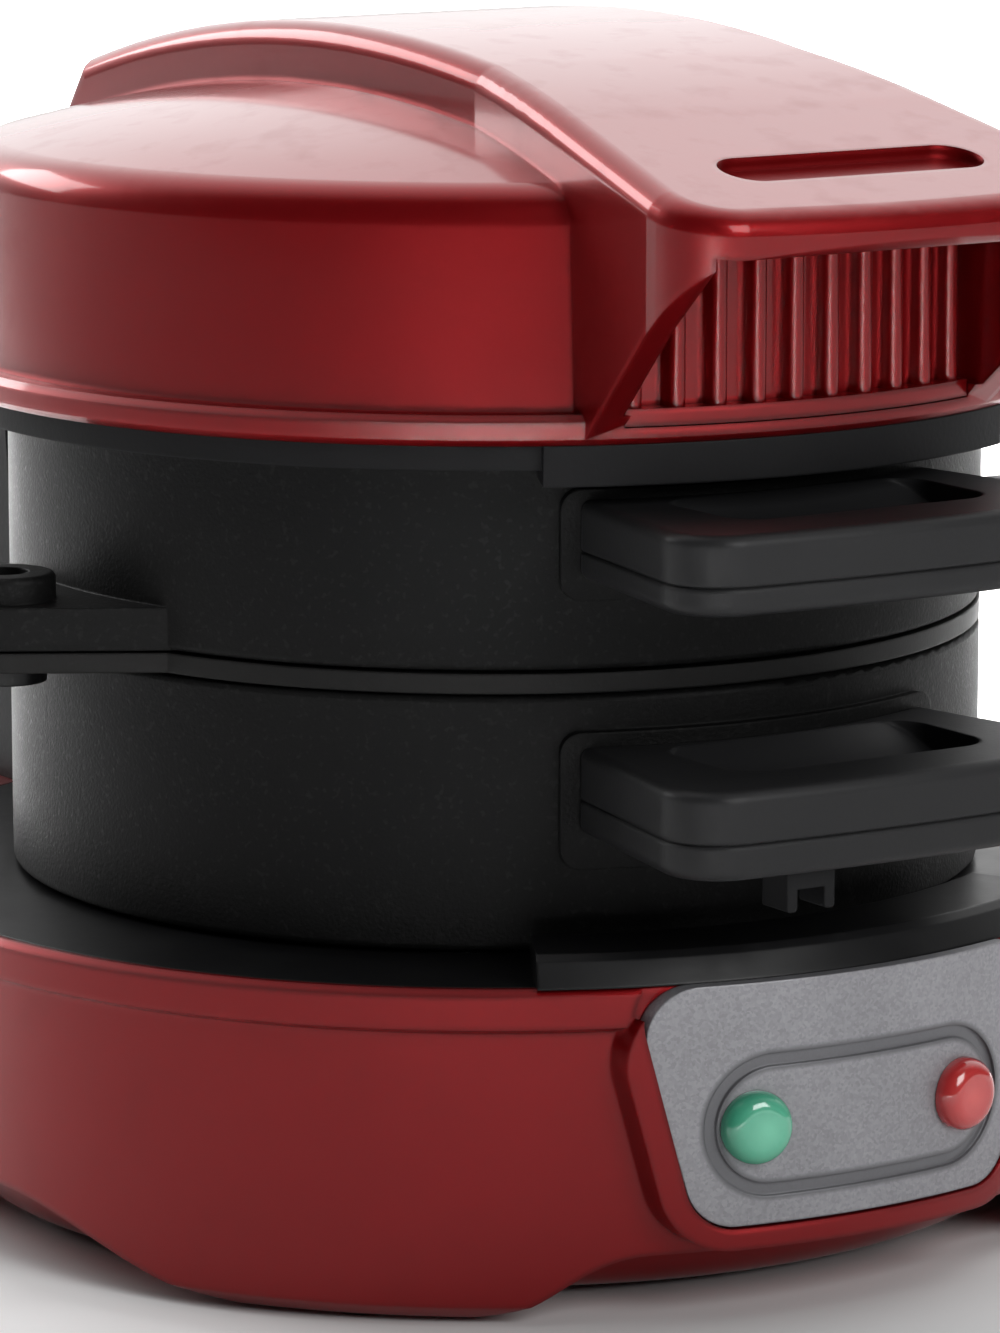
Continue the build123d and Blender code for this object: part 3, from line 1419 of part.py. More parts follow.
with BuildPart() as cover_grille:
    # Curved plate with upright ribs and a sill along its foot.
    with BuildSketch(Plane.XY.offset(grille_z)):
        Circle(grille_r)
        Circle(grille_r - grille_thickness, mode=Mode.SUBTRACT)
    extrude(amount=grille_height)
    with BuildSketch(Plane.XY.offset(grille_z)):
        Circle(cover_rim_r - fit_gap)
        Circle(grille_r - grille_thickness, mode=Mode.SUBTRACT)
    extrude(amount=sill_height)
    with BuildSketch(Plane.XY.offset(grille_z)):
        with Locations((0, -grille_r)):
            with GridLocations(rib_pitch, 0, rib_count, 1):
                Rectangle(rib_width, 2 * grille_r - 2 * window_rear_y)
        Circle(grille_r - grille_thickness / 2, mode=Mode.SUBTRACT)
        Circle(grille_r + rib_height, mode=Mode.INTERSECT)
    extrude(amount=grille_height)
    with BuildSketch(Plane.XY.offset(grille_z)):
        with Locations((0, -cover_rim_r)):
            Rectangle(2 * grille_half_width, 2 * (cover_rim_r - window_rear_y))
    extrude(amount=grille_height, mode=Mode.INTERSECT)
cover_grille.part.label = "cover_grille"
export_step(cover_grille.part, "parts/cover_grille.step")

with BuildPart() as cover_liner:
    # Web that carries the heating plate, and the skirt that surrounds the top ring.
    with BuildSketch(radial_plane(90)):
        with BuildLine():
            Polyline(
                (liner_hole_r, liner_web_z),
                (liner_skirt_r, liner_web_z),
                (liner_skirt_r, cover_z - liner_skirt_depth),
                (liner_outer_r, cover_z - liner_skirt_depth),
                (liner_outer_r, cover_z),
                (cover_wall_foot_r - cover_wall - fit_gap, cover_z),
                (cover_wall_foot_r - cover_wall - fit_gap, liner_top_z),
                (liner_hole_r, liner_top_z),
                close=True,
            )
        make_face()
    revolve(axis=Axis.Z)
    with BuildSketch(radial_plane(-liner_apron_half_angle, 0, cover_z)):
        with Locations(((liner_skirt_r + liner_apron_r) / 2, -liner_apron_depth / 2)):
            Rectangle(liner_apron_r - liner_skirt_r, liner_apron_depth)
    revolve(axis=Axis.Z, revolution_arc=2 * liner_apron_half_angle)
    with Locations(Plane(origin=(0, 0, cover_z - liner_skirt_depth), z_dir=(0, 0, -1))):
        with PolarLocations(cover_screw_circle_r, 4, start_angle=45):
            CounterBoreHole(screw_r + fit_gap, screw_head_r + fit_gap, screw_head_height + rest_gap)
cover_liner.part.label = "cover_liner"
export_step(cover_liner.part, "parts/cover_liner.step")

with BuildPart() as cover_screws:
    head_z = cover_z - liner_skirt_depth + rest_gap
    with BuildSketch(Plane.XY.offset(head_z)):
        with PolarLocations(cover_screw_circle_r, 4, start_angle=45):
            Circle(screw_head_r)
    extrude(amount=screw_head_height)
    with BuildSketch(Plane.XY.offset(head_z)):
        with PolarLocations(cover_screw_circle_r, 4, start_angle=45):
            Circle(screw_r)
    extrude(amount=screw_head_height + screw_length)
cover_screws.part.label = "cover_screws"
export_step(cover_screws.part, "parts/cover_screws.step")

with BuildPart() as upper_heating_plate:
    # Pan that hangs into the top ring, with a flange that rests on the liner.
    pan_z = top_ring_top - upper_heater_reach
    with BuildSketch(radial_plane(90)) as pan:
        with BuildLine():
            Polyline(
                (0, pan_z),
                (upper_heater_r, pan_z),
                (upper_heater_r, liner_top_z),
                (upper_heater_r + upper_heater_flange, liner_top_z),
                (upper_heater_r + upper_heater_flange, upper_flange_top),
                (upper_heater_r - upper_heater_wall, upper_flange_top),
                (upper_heater_r - upper_heater_wall, pan_z + heater_thickness),
                (0, pan_z + heater_thickness),
                close=True,
            )
        make_face()
    revolve(axis=Axis.Z)
    fillet(upper_heating_plate.edges().group_by(Axis.Z)[0], ring_edge_fillet)
    with BuildSketch(radial_plane(90)):
        with Locations((element_circle_r, pan_z + heater_thickness)):
            Circle(element_tube_r + fit_gap)
    revolve(axis=Axis.Z, mode=Mode.SUBTRACT)
upper_heating_plate.part.label = "upper_heating_plate"
export_step(upper_heating_plate.part, "parts/upper_heating_plate.step")

upper_heating_element = element(pan_z + heater_thickness, element_lead_length)
upper_heating_element.part.label = "upper_heating_element"
export_step(upper_heating_element.part, "parts/upper_heating_element.step")

upper_heat_shield = shield_dish(upper_heater_r + shield_inset / 2, upper_flange_top, shield_depth)
upper_heat_shield.part.label = "upper_heat_shield"
export_step(upper_heat_shield.part, "parts/upper_heat_shield.step")
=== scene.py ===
from math import cos, pi, radians, sin, sqrt

import bmesh
import bpy
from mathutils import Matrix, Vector


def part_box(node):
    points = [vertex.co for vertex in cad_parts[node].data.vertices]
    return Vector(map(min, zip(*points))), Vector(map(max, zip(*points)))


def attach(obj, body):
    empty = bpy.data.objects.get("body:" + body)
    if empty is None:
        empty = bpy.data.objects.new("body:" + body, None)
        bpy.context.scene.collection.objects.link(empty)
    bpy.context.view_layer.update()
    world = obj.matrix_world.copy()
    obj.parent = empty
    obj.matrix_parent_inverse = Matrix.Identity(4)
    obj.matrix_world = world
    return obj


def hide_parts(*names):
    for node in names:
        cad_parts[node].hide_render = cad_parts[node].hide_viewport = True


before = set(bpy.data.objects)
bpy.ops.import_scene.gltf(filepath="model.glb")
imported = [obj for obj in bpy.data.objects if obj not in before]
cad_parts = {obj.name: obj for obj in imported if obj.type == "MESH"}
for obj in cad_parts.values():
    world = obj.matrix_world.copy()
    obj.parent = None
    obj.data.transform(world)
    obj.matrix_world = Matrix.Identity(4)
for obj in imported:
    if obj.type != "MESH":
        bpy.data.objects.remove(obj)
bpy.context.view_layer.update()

# ------------------------------------------------------------------ camera
# A long lens close to table height, a third of the way round to the left of the handles, so near
# that both sides of the cover run out of the picture.
camera_turn = radians(-32.6)
camera_rise = radians(10.33)
camera_distance = 0.8
camera_aim_height = 0.064
camera_aim_side = 0.00066
camera_right = Vector((cos(camera_turn), sin(camera_turn), 0))
camera_back = Vector(
    (sin(camera_turn) * cos(camera_rise), -cos(camera_turn) * cos(camera_rise), sin(camera_rise))
)
camera_aim = Vector((0, 0, camera_aim_height)) + camera_aim_side * camera_right
camera = bpy.data.objects.new("camera", bpy.data.cameras.new("camera"))
bpy.context.scene.collection.objects.link(camera)
camera.data.sensor_width = 36
camera.data.lens = 170.8
camera.location = camera_aim + camera_distance * camera_back
camera.rotation_mode = "QUATERNION"
camera.rotation_quaternion = camera_back.to_track_quat("Z", "Y")
bpy.context.scene.camera = camera


# ------------------------------------------------------------------ base shell
# Deep bowl on four feet, moulded in red plastic with a lacquered gloss. The feet, the bulge for
# the indicator panel and the block under the hinge are all one moulding.
class Link:
    """One output of a node. Arithmetic on it adds the Math node that works it out."""

    def __init__(self, nodes, socket):
        self.nodes, self.socket = nodes, socket

    def maths(self, operation, *values):
        """The result of a Math node."""
        return self.nodes.add("ShaderNodeMath", {"operation": operation}, dict(enumerate(values)))

    def __add__(self, other):
        return self.maths("ADD", self, other)

    def __mul__(self, other):
        return self.maths("MULTIPLY", self, other)

    def __sub__(self, other):
        return self.maths("SUBTRACT", self, other)

    def __rsub__(self, other):
        return self.maths("SUBTRACT", other, self)

    def __truediv__(self, other):
        return self.maths("DIVIDE", self, other)

    def __rtruediv__(self, other):
        return self.maths("DIVIDE", other, self)

    def __pow__(self, other):
        return self.maths("POWER", self, other)

    def __rpow__(self, other):
        return self.maths("POWER", other, self)

    def __abs__(self):
        return self.maths("ABSOLUTE", self)

    __radd__ = __add__
    __rmul__ = __mul__


class Nodes:
    """The nodes of one finish or of one repeated shape."""

    def __init__(self, tree):
        self.tree = tree
        tree.nodes.clear()

    def add(self, kind, settings={}, sockets={}, out=0):
        """A node of a kind, with its settings made first and then its sockets filled."""
        node = self.tree.nodes.new(kind)
        for name, value in settings.items():
            setattr(node, name, value)
        for name, value in sockets.items():
            if isinstance(value, Link):
                self.tree.links.new(value.socket, node.inputs[name])
            else:
                node.inputs[name].default_value = value
        return Link(self, node.outputs[out]) if node.outputs else None


class Finish(Nodes):
    """The finish of a surface, in the object's own coordinates."""

    def __init__(self, name):
        self.material = bpy.data.materials.new(name)
        self.material.use_nodes = True
        super().__init__(self.material.node_tree)
        self.place = self.add("ShaderNodeTexCoord", out="Object")

    def noise(self, size, detail=2.0, stretch=None):
        """Cloudy pattern whose patches are about a size across, in metres."""
        place = self.place
        if stretch:
            place = self.add("ShaderNodeMapping", {}, {"Vector": place, "Scale": stretch})
        return self.add(
            "ShaderNodeTexNoise", {}, {"Vector": place, "Scale": 1 / size, "Detail": detail}
        )

    def cells(self, size, out="Distance"):
        """Pattern of cells about a size across."""
        sockets = {"Vector": self.place, "Scale": 1 / size}
        return self.add("ShaderNodeTexVoronoi", {}, sockets, out)

    def steps(self, value, low, high):
        """The value spread so that low becomes 0 and high becomes 1."""
        sockets = {"Value": value, "From Min": low, "From Max": high}
        return self.add("ShaderNodeMapRange", {}, sockets)

    def blend(self, factor, first, second):
        """A colour from the first to the second."""
        settings = {"data_type": "RGBA"}
        return self.add("ShaderNodeMix", settings, {0: factor, 6: first, 7: second}, 2)

    def relief(self, height, depth, edge=0.0004):
        """Bump of a depth in metres, over edges that are softened by a radius."""
        soft = self.add("ShaderNodeBevel", {"samples": 6}, {"Radius": edge})
        return self.add("ShaderNodeBump", {}, {"Height": height, "Distance": depth, "Normal": soft})

    def surface(self, **sockets):
        """Closes the finish with its shader."""
        named = {name.replace("_", " "): value for name, value in sockets.items()}
        shader = self.add("ShaderNodeBsdfPrincipled", {}, named)
        self.add("ShaderNodeOutputMaterial", {}, {"Surface": shader})


def dress(finish, *names):
    """Gives modelled pieces their finish."""
    for name in names:
        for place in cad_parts[name].material_slots:
            place.material = finish.material


red_gloss = Finish("red_gloss")
red_flow = red_gloss.noise(0.021, 3)
red_peel = red_gloss.noise(0.0011, 1)
red_handling = red_gloss.steps(red_gloss.noise(0.006, 6), 0.52, 0.72)
red_gloss.surface(
    Base_Color=red_gloss.blend(red_flow, (0.20, 0.0015, 0.003, 1), (0.24, 0.003, 0.005, 1)),
    Metallic=0.6,
    Roughness=0.34 + 0.08 * red_handling + 0.04 * red_flow,
    Normal=red_gloss.relief(red_peel, 0.000003, 0.0012),
    Specular_IOR_Level=0.2,
    Coat_Weight=1.0,
    Coat_IOR=1.3,
    Coat_Roughness=0.1,
)
dress(red_gloss, "base_shell")

# ------------------------------------------------------------------ bottom cover and feet
# The bottom cover is a plain black moulding with air slots, held up by four screws. The feet are
# rubber discs pressed into sockets in the shell, with fine rings so that they grip.
inner_black = Finish("inner_black")
inner_grain = inner_black.noise(0.0007, 3)
inner_flow = inner_black.noise(0.014, 2)
inner_black.surface(
    Base_Color=inner_black.blend(inner_flow, (0.006, 0.006, 0.0065, 1), (0.013, 0.013, 0.014, 1)),
    Roughness=0.48 + 0.14 * inner_flow,
    Normal=inner_black.relief(inner_grain, 0.00003),
    Specular_IOR_Level=0.15,
)
dress(inner_black, "base_bottom_cover", "lamp_holder")

foot_rubber = Finish("foot_rubber")
foot_dust = foot_rubber.noise(0.003, 5)
foot_rings = foot_rubber.add(
    "ShaderNodeTexWave",
    {"wave_type": "RINGS", "rings_direction": "Z"},
    {"Vector": foot_rubber.place, "Scale": 320},
    "Fac",
)
foot_rubber.surface(
    Base_Color=foot_rubber.blend(foot_dust, (0.012, 0.012, 0.012, 1), (0.035, 0.034, 0.032, 1)),
    Roughness=0.78 + 0.12 * foot_dust,
    Normal=foot_rubber.relief(foot_rings, 0.00008),
)
dress(foot_rubber, "foot_pads")

# ------------------------------------------------------------------ screws
# Pan-head steel screws with a cross recess, in six groups: under the base, in the cover liner, in
# the yoke of the cover, in the two ring handles and in the handle of the cooking plate.
bright_steel = Finish("bright_steel")
steel_turning = bright_steel.noise(0.0016, 3, (1, 1, 9))
steel_stain = bright_steel.noise(0.004, 4)
bright_steel.surface(
    Base_Color=bright_steel.blend(steel_stain, (0.33, 0.33, 0.34, 1), (0.52, 0.52, 0.53, 1)),
    Metallic=1.0,
    Roughness=0.24 + 0.2 * steel_turning,
    Normal=bright_steel.relief(steel_turning, 0.00001),
)


class Shape(Nodes):
    """A repeated shape: a tree with named inputs for its sizes, run once on a plain mesh."""

    def __init__(self, name, **sizes):
        tree = bpy.data.node_groups.new(name, "GeometryNodeTree")
        super().__init__(tree)
        tree.interface.new_socket("Geometry", in_out="INPUT", socket_type="NodeSocketGeometry")
        self.sizes = sizes
        for label, value in sizes.items():
            kind = "NodeSocketInt" if isinstance(value, int) else "NodeSocketFloat"
            tree.interface.new_socket(label, in_out="INPUT", socket_type=kind)
        tree.interface.new_socket("Geometry", in_out="OUTPUT", socket_type="NodeSocketGeometry")
        self.entry = tree.nodes.new("NodeGroupInput")

    def size(self, label):
        """One of the named sizes."""
        return Link(self, self.entry.outputs[label])

    def spot(self, x, y, z):
        """A point from three values."""
        return self.add("ShaderNodeCombineXYZ", {}, {0: x, 1: y, 2: z})

    def close(self, geometry, finish):
        """Ends the tree with plain mesh in its finish."""
        plain = self.add("GeometryNodeRealizeInstances", {}, {0: geometry})
        dressed = self.add("GeometryNodeSetMaterial", {}, {0: plain, "Material": finish.material})
        self.add("NodeGroupOutput", {}, {0: dressed})

    def make(self, name, mesh, **sizes):
        """The shape grown on a mesh, as a plain object of its own."""
        seed = bpy.data.objects.new(name, mesh)
        bpy.context.scene.collection.objects.link(seed)
        grown = seed.modifiers.new(name, "NODES")
        grown.node_group = self.tree
        for item in self.tree.interface.items_tree:
            if item.in_out == "INPUT" and item.name in self.sizes:
                grown[item.identifier] = sizes.get(item.name, self.sizes[item.name])
        evaluated = seed.evaluated_get(bpy.context.evaluated_depsgraph_get())
        made = bpy.data.meshes.new_from_object(evaluated)
        seed.modifiers.clear()
        seed.data = made
        made.name = name
        return seed


screw_shape = Shape(
    "screw",
    Head_Radius=0.003,
    Head_Height=0.001,
    Shank_Radius=0.0016,
    Length=0.008,
    Recess=0.0006,
    Tilt=0.0,
)
head_sides, shank_sides = 32, 24
recess_length, recess_width = 1.15, 0.3  # shares of the radius of the head
head = screw_shape.add(
    "GeometryNodeMeshCylinder",
    {"fill_type": "NGON"},
    {
        "Vertices": head_sides,
        "Radius": screw_shape.size("Head_Radius"),
        "Depth": screw_shape.size("Head_Height"),
    },
    "Mesh",
)
head = screw_shape.add(
    "GeometryNodeTransform",
    {},
    {0: head, "Translation": screw_shape.spot(0, 0, screw_shape.size("Head_Height") / 2)},
)
for wide, narrow in ((recess_length, recess_width), (recess_width, recess_length)):
    bar = screw_shape.add(
        "GeometryNodeMeshCube",
        {},
        {
            "Size": screw_shape.spot(
                screw_shape.size("Head_Radius") * wide,
                screw_shape.size("Head_Radius") * narrow,
                screw_shape.size("Recess") * 2,
            )
        },
        "Mesh",
    )
    head = screw_shape.add(
        "GeometryNodeMeshBoolean", {"operation": "DIFFERENCE"}, {"Mesh 1": head, "Mesh 2": bar}
    )
shank = screw_shape.add(
    "GeometryNodeMeshCylinder",
    {"fill_type": "NGON"},
    {
        "Vertices": shank_sides,
        "Radius": screw_shape.size("Shank_Radius"),
        "Depth": screw_shape.size("Length"),
    },
    "Mesh",
)
shank = screw_shape.add(
    "GeometryNodeTransform",
    {},
    {
        0: shank,
        "Translation": screw_shape.spot(
            0, 0, screw_shape.size("Head_Height") + screw_shape.size("Length") / 2
        ),
    },
)
screw = screw_shape.add("GeometryNodeJoinGeometry")
for part in (shank, head):
    screw_shape.tree.links.new(part.socket, screw.socket.node.inputs[0])
screw_shape.close(
    screw_shape.add(
        "GeometryNodeInstanceOnPoints",
        {},
        {
            "Points": screw_shape.size("Geometry"),
            "Instance": screw,
            "Rotation": screw_shape.spot(screw_shape.size("Tilt"), 0, 0),
        },
    ),
    bright_steel,
)


def screws(name, body, node, spots, head_radius, head_height, shank_radius, from_rear=False):
    """Screws that go up from the lowest level of their node, or forward from its rear."""
    low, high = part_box(node)
    if from_rear:
        places, reach = [(x, high.y, z) for x, z in spots], high.y - low.y
    else:
        places, reach = [(x, y, low.z) for x, y in spots], high.z - low.z
    mesh = bpy.data.meshes.new(name)
    mesh.from_pydata(places, [], [])
    made = screw_shape.make(
        name,
        mesh,
        Head_Radius=head_radius,
        Head_Height=head_height,
        Shank_Radius=shank_radius,
        Length=reach - head_height,
        Tilt=pi / 2 if from_rear else 0.0,
    )
    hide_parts(node)
    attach(made, body)


def corners(circle):
    """Four places on a circle, midway between front, sides and rear."""
    reach = circle * sqrt(0.5)
    return [(reach, reach), (-reach, reach), (-reach, -reach), (reach, -reach)]


small_screw = {"head_radius": 0.0022, "head_height": 0.0012, "shank_radius": 0.0015}
base_screw_circle = 0.0594
liner_screw_circle = 0.0644
yoke_screw_x, yoke_screw_z = 0.009, 0.1121
yoke_spots = [(-yoke_screw_x, yoke_screw_z), (yoke_screw_x, yoke_screw_z)]
screws("screws_of_base", "base", "base_screws", corners(base_screw_circle), **small_screw)
screws("screws_of_liner", "cover_body", "cover_screws", corners(liner_screw_circle), **small_screw)
screws("screws_of_yoke", "cover_body", "yoke_screws", yoke_spots, **small_screw, from_rear=True)

handle_screw = {"head_radius": 0.003, "head_height": 0.001, "shank_radius": 0.0016}
handle_screw_x, handle_screw_y = 0.0075, -0.0779
plate_handle_screw_x = 0.08
handle_spots = [(-handle_screw_x, handle_screw_y), (handle_screw_x, handle_screw_y)]
for name, body, node, spots in (
    ("screws_of_low_handle", "bottom_ring_body", "bottom_handle_screws", handle_spots),
    ("screws_of_top_handle", "top_ring_body", "top_handle_screws", handle_spots),
    ("screw_of_plate_handle", "plate_body", "plate_handle_screw", [(plate_handle_screw_x, 0)]),
):
    screws(name, body, node, spots, **handle_screw)

# ------------------------------------------------------------------ deck
# Black moulding that closes the top of the base, with a low apron over the indicator panel. Its
# gloss is higher than the handles', and crumbs and wiping have left it faintly clouded.
deck_black = Finish("deck_black")
deck_wiping = deck_black.noise(0.009, 5, (1, 1, 3))
deck_peel = deck_black.noise(0.0009, 2)
deck_black.surface(
    Base_Color=deck_black.blend(deck_wiping, (0.003, 0.003, 0.0035, 1), (0.007, 0.007, 0.0075, 1)),
    Roughness=0.27 + 0.16 * deck_wiping,
    Normal=deck_black.relief(deck_peel, 0.000008),
    Specular_IOR_Level=0.3,
)
dress(deck_black, "base_deck")

# ------------------------------------------------------------------ indicator panel
# Silver-painted moulding in a recess of the shell, curved with the wall. A groove in the shape of
# a pill runs round the two lights, with painted shade in a darker band along it. The paint has a
# fine metal flake.
silver_paint = Finish("silver_paint")
flake = silver_paint.cells(0.00035, "Color")
flake_tone = silver_paint.add("ShaderNodeSeparateColor", {}, {0: flake}, "Red")
silver_cloud = silver_paint.noise(0.012, 3)
silver_tone = silver_paint.blend(
    flake_tone * 0.5 + silver_cloud * 0.5, (0.235, 0.232, 0.248, 1), (0.40, 0.396, 0.42, 1)
)
pill_half_straight, pill_level, pill_r = 0.0125, 0.0234, 0.00775
pill_shade_full_reach, pill_shade_end_reach = 0.001, 0.0015  # reach to each side of the middle of the groove
fascia_x = silver_paint.add("ShaderNodeSeparateXYZ", {}, {0: silver_paint.place}, "X")
fascia_z = silver_paint.add("ShaderNodeSeparateXYZ", {}, {0: silver_paint.place}, "Z")
pill_reach = abs(fascia_x) - pill_half_straight
pill_reach = pill_reach.maths("MAXIMUM", pill_reach, 0.0)
pill_off = (pill_reach**2 + (fascia_z - pill_level) ** 2) ** 0.5 - pill_r
# Painted shade: the silver colour darkens in a band along the pill groove, where the groove's shade
# falls.
pill_painted_shade = silver_paint.steps(abs(pill_off), pill_shade_end_reach, pill_shade_full_reach)
silver_paint.surface(
    Base_Color=silver_paint.blend(pill_painted_shade * 0.85, silver_tone, (0.15, 0.15, 0.16, 1)),
    Metallic=0.45,
    Roughness=0.36 + 0.12 * flake_tone,
    Normal=silver_paint.relief(flake_tone, 0.000006),
)
dress(silver_paint, "panel_fascia")

# ------------------------------------------------------------------ lights
# Domed lenses of tinted plastic, each on a stem that guides the glow of a small glow lamp behind
# the fascia. The green one shows that the plates are hot, the red one that the current is on.
lens_swirl = 0.0008
lens_highlight_r, lens_deep_r = 0.001, 0.0052  # distances from the middle of the dome


def lens_tint(name, node, deep, painted_highlight):
    """Tinted lens: its own tint deepens towards the rim, and a painted highlight makes the middle
    of the dome paler.
    """
    low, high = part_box(node)
    middle = (low + high) / 2
    tint = Finish(name)
    spread = tint.add(
        "ShaderNodeVectorMath",
        {"operation": "DISTANCE"},
        {0: tint.place, 1: (middle.x, low.y, middle.z)},
        "Value",
    )
    swirl = tint.noise(0.0015, 2)
    # Painted highlight: the colour pales towards the middle of the dome. Farther out it is the
    # lens's own deeper tint.
    depth = tint.steps(spread + swirl * lens_swirl, lens_highlight_r, lens_deep_r)
    tint.surface(
        Base_Color=tint.blend(depth, painted_highlight, deep),
        Roughness=0.12 + 0.06 * swirl,
        Normal=tint.relief(swirl, 0.00001),
        Coat_Weight=1.0,
        Coat_Roughness=0.05,
    )
    dress(tint, node)


# The second colour of each lens is the painted highlight in the middle of its dome.
lens_tint("green_tint", "preheat_lens", (0.05, 0.33, 0.20, 1), (0.17, 0.62, 0.41, 1))
lens_tint("red_tint", "power_lens", (0.42, 0.02, 0.022, 1), (0.66, 0.07, 0.065, 1))

lamp_clear = Finish("lamp_clear")
lamp_soot = lamp_clear.noise(0.002, 3)
lamp_clear.surface(
    Base_Color=lamp_clear.blend(lamp_soot, (0.75, 0.62, 0.5, 1), (0.88, 0.84, 0.8, 1)),
    Roughness=0.08 + 0.1 * lamp_soot,
    Normal=lamp_clear.relief(lamp_soot, 0.00001),
    Transmission_Weight=0.7,
)
dress(lamp_clear, "indicator_lamps")

# ------------------------------------------------------------------ heating plates
# Cast aluminium plates with a black release coating. The lower one sits on the ledge of the deck,
# the upper one hangs from the liner of the cover.
plate_coating = Finish("plate_coating")
coating_speck = plate_coating.cells(0.0012)
coating_cloud = plate_coating.noise(0.017, 4)
coating_grain = plate_coating.noise(0.0004, 2)
plate_coating.surface(
    Base_Color=plate_coating.blend(
        coating_cloud, (0.006, 0.006, 0.006, 1), (0.013, 0.0125, 0.012, 1)
    ),
    Roughness=0.36 + 0.18 * coating_cloud,
    Normal=plate_coating.relief(coating_grain * 0.7 + coating_speck * 0.3, 0.00003),
    Specular_IOR_Level=0.2,
)
dress(plate_coating, "lower_heating_plate", "upper_heating_plate")

# ------------------------------------------------------------------ heating elements
# Steel tubes bent to an open ring, filled with packed powder round a resistance wire. The heat
# has turned them brown and blue towards their leads.
tube_tint = Finish("tube_tint")
tube_heat = tube_tint.noise(0.01, 3)
tube_scale = tube_tint.noise(0.0012, 4)
tube_tint.surface(
    Base_Color=tube_tint.blend(tube_heat, (0.13, 0.10, 0.085, 1), (0.10, 0.11, 0.13, 1)),
    Metallic=0.9,
    Roughness=0.4 + 0.25 * tube_scale,
    Normal=tube_tint.relief(tube_scale, 0.00002),
)
dress(tube_tint, "lower_heating_element", "upper_heating_element")

# ------------------------------------------------------------------ heat shields
# Pressed dishes of zinc-coated sheet behind the plates, which keep the heat off the mouldings.
# The coating shows its crystals.
zinc_sheet = Finish("zinc_sheet")
zinc_crystal = zinc_sheet.cells(0.006, "Color")
zinc_tone = zinc_sheet.add("ShaderNodeSeparateColor", {}, {0: zinc_crystal}, "Red")
zinc_grain = zinc_sheet.noise(0.001, 3)
zinc_sheet.surface(
    Base_Color=zinc_sheet.blend(zinc_tone, (0.36, 0.37, 0.39, 1), (0.52, 0.53, 0.55, 1)),
    Metallic=0.95,
    Roughness=0.3 + 0.2 * zinc_tone,
    Normal=zinc_sheet.relief(zinc_grain, 0.00001),
)
dress(zinc_sheet, "lower_heat_shield", "upper_heat_shield")

# ------------------------------------------------------------------ parts on the mains side
# A disc thermostat under the lower plate, a heat fuse beside it, a white block where the wires
# meet, and the rubber grommet of the rear wall.
dress(bright_steel, "thermostat", "thermal_fuse")

block_white = Finish("block_white")
block_tone = block_white.noise(0.005, 4)
block_white.surface(
    Base_Color=block_white.blend(block_tone, (0.55, 0.54, 0.50, 1), (0.68, 0.67, 0.63, 1)),
    Roughness=0.42 + 0.1 * block_tone,
    Normal=block_white.relief(block_white.noise(0.0006, 2), 0.00002),
)
dress(block_white, "terminal_block")
dress(foot_rubber, "cord_grommet")

# ------------------------------------------------------------------ hinge
# A moulded bracket on the deck with two cheeks, and a steel pin through both cheeks and all the
# arms, headed at one end and held by a clip at the other.
dress(inner_black, "hinge_bracket")
dress(bright_steel, "hinge_pin", "hinge_clip")

# ------------------------------------------------------------------ rings
# Cast aluminium rings with a matt black release coating, which has a fine even grain. Flange,
# tongue and hinge arms are cast with each ring, and the ear of the plate's pin with the top one.
ring_coating = Finish("ring_coating")
ring_grain = ring_coating.noise(0.00045, 3)
ring_cloud = ring_coating.noise(0.02, 3)
ring_speck = ring_coating.steps(ring_coating.noise(0.0008, 1), 0.60, 0.72)
ring_coating.surface(
    Base_Color=ring_coating.blend(
        ring_speck * 0.7 + ring_cloud * 0.3, (0.006, 0.006, 0.006, 1), (0.016, 0.016, 0.016, 1)
    ),
    Roughness=0.42 + 0.12 * ring_cloud - 0.06 * ring_speck,
    Normal=ring_coating.relief(ring_grain, 0.00007),
    Specular_IOR_Level=0.12,
)
dress(ring_coating, "bottom_ring", "top_ring")

# ------------------------------------------------------------------ ring handles
# Each handle is two shells of heat-resisting dark grey plastic, closed on the ring's tongue by
# two screws from below. The upper shell has a dish for the thumb, and a clip with two prongs
# hangs under the lower handle, dressed in the darker black finish as painted shade.
handle_grey = Finish("handle_grey")
handle_grain = handle_grey.noise(0.0006, 3)
handle_flow = handle_grey.noise(0.018, 3)
handle_grey.surface(
    Base_Color=handle_grey.blend(handle_flow, (0.014, 0.014, 0.015, 1), (0.021, 0.021, 0.022, 1)),
    Roughness=0.36 + 0.14 * handle_flow,
    Normal=handle_grey.relief(handle_grain, 0.00002, 0.0007),
    Specular_IOR_Level=0.25,
)
dress(handle_grey, "bottom_handle_upper", "bottom_handle_lower")
dress(handle_grey, "top_handle_upper", "top_handle_lower")
# Painted shade: the clip wears the darker black finish for the shade under the lower handle.
dress(inner_black, "handle_clip")

# ------------------------------------------------------------------ cooking plate
# Pressed plate with the same coating as the rings, which swings out on a pin in the top ring's
# ear. Its own small handle is screwed to a tang on the other side.
dress(plate_coating, "cooking_plate")
dress(handle_grey, "plate_handle_upper", "plate_handle_lower")
dress(deck_black, "plate_pivot_pin")

# ------------------------------------------------------------------ cover
# Red moulding like the base, with a broad ridge that runs forward into the lip one lifts it by.
# A black liner closes it from below, and a black yoke on its rear face carries the hinge arms.
dress(red_gloss, "cover_shell")
dress(inner_black, "cover_liner", "cover_yoke")

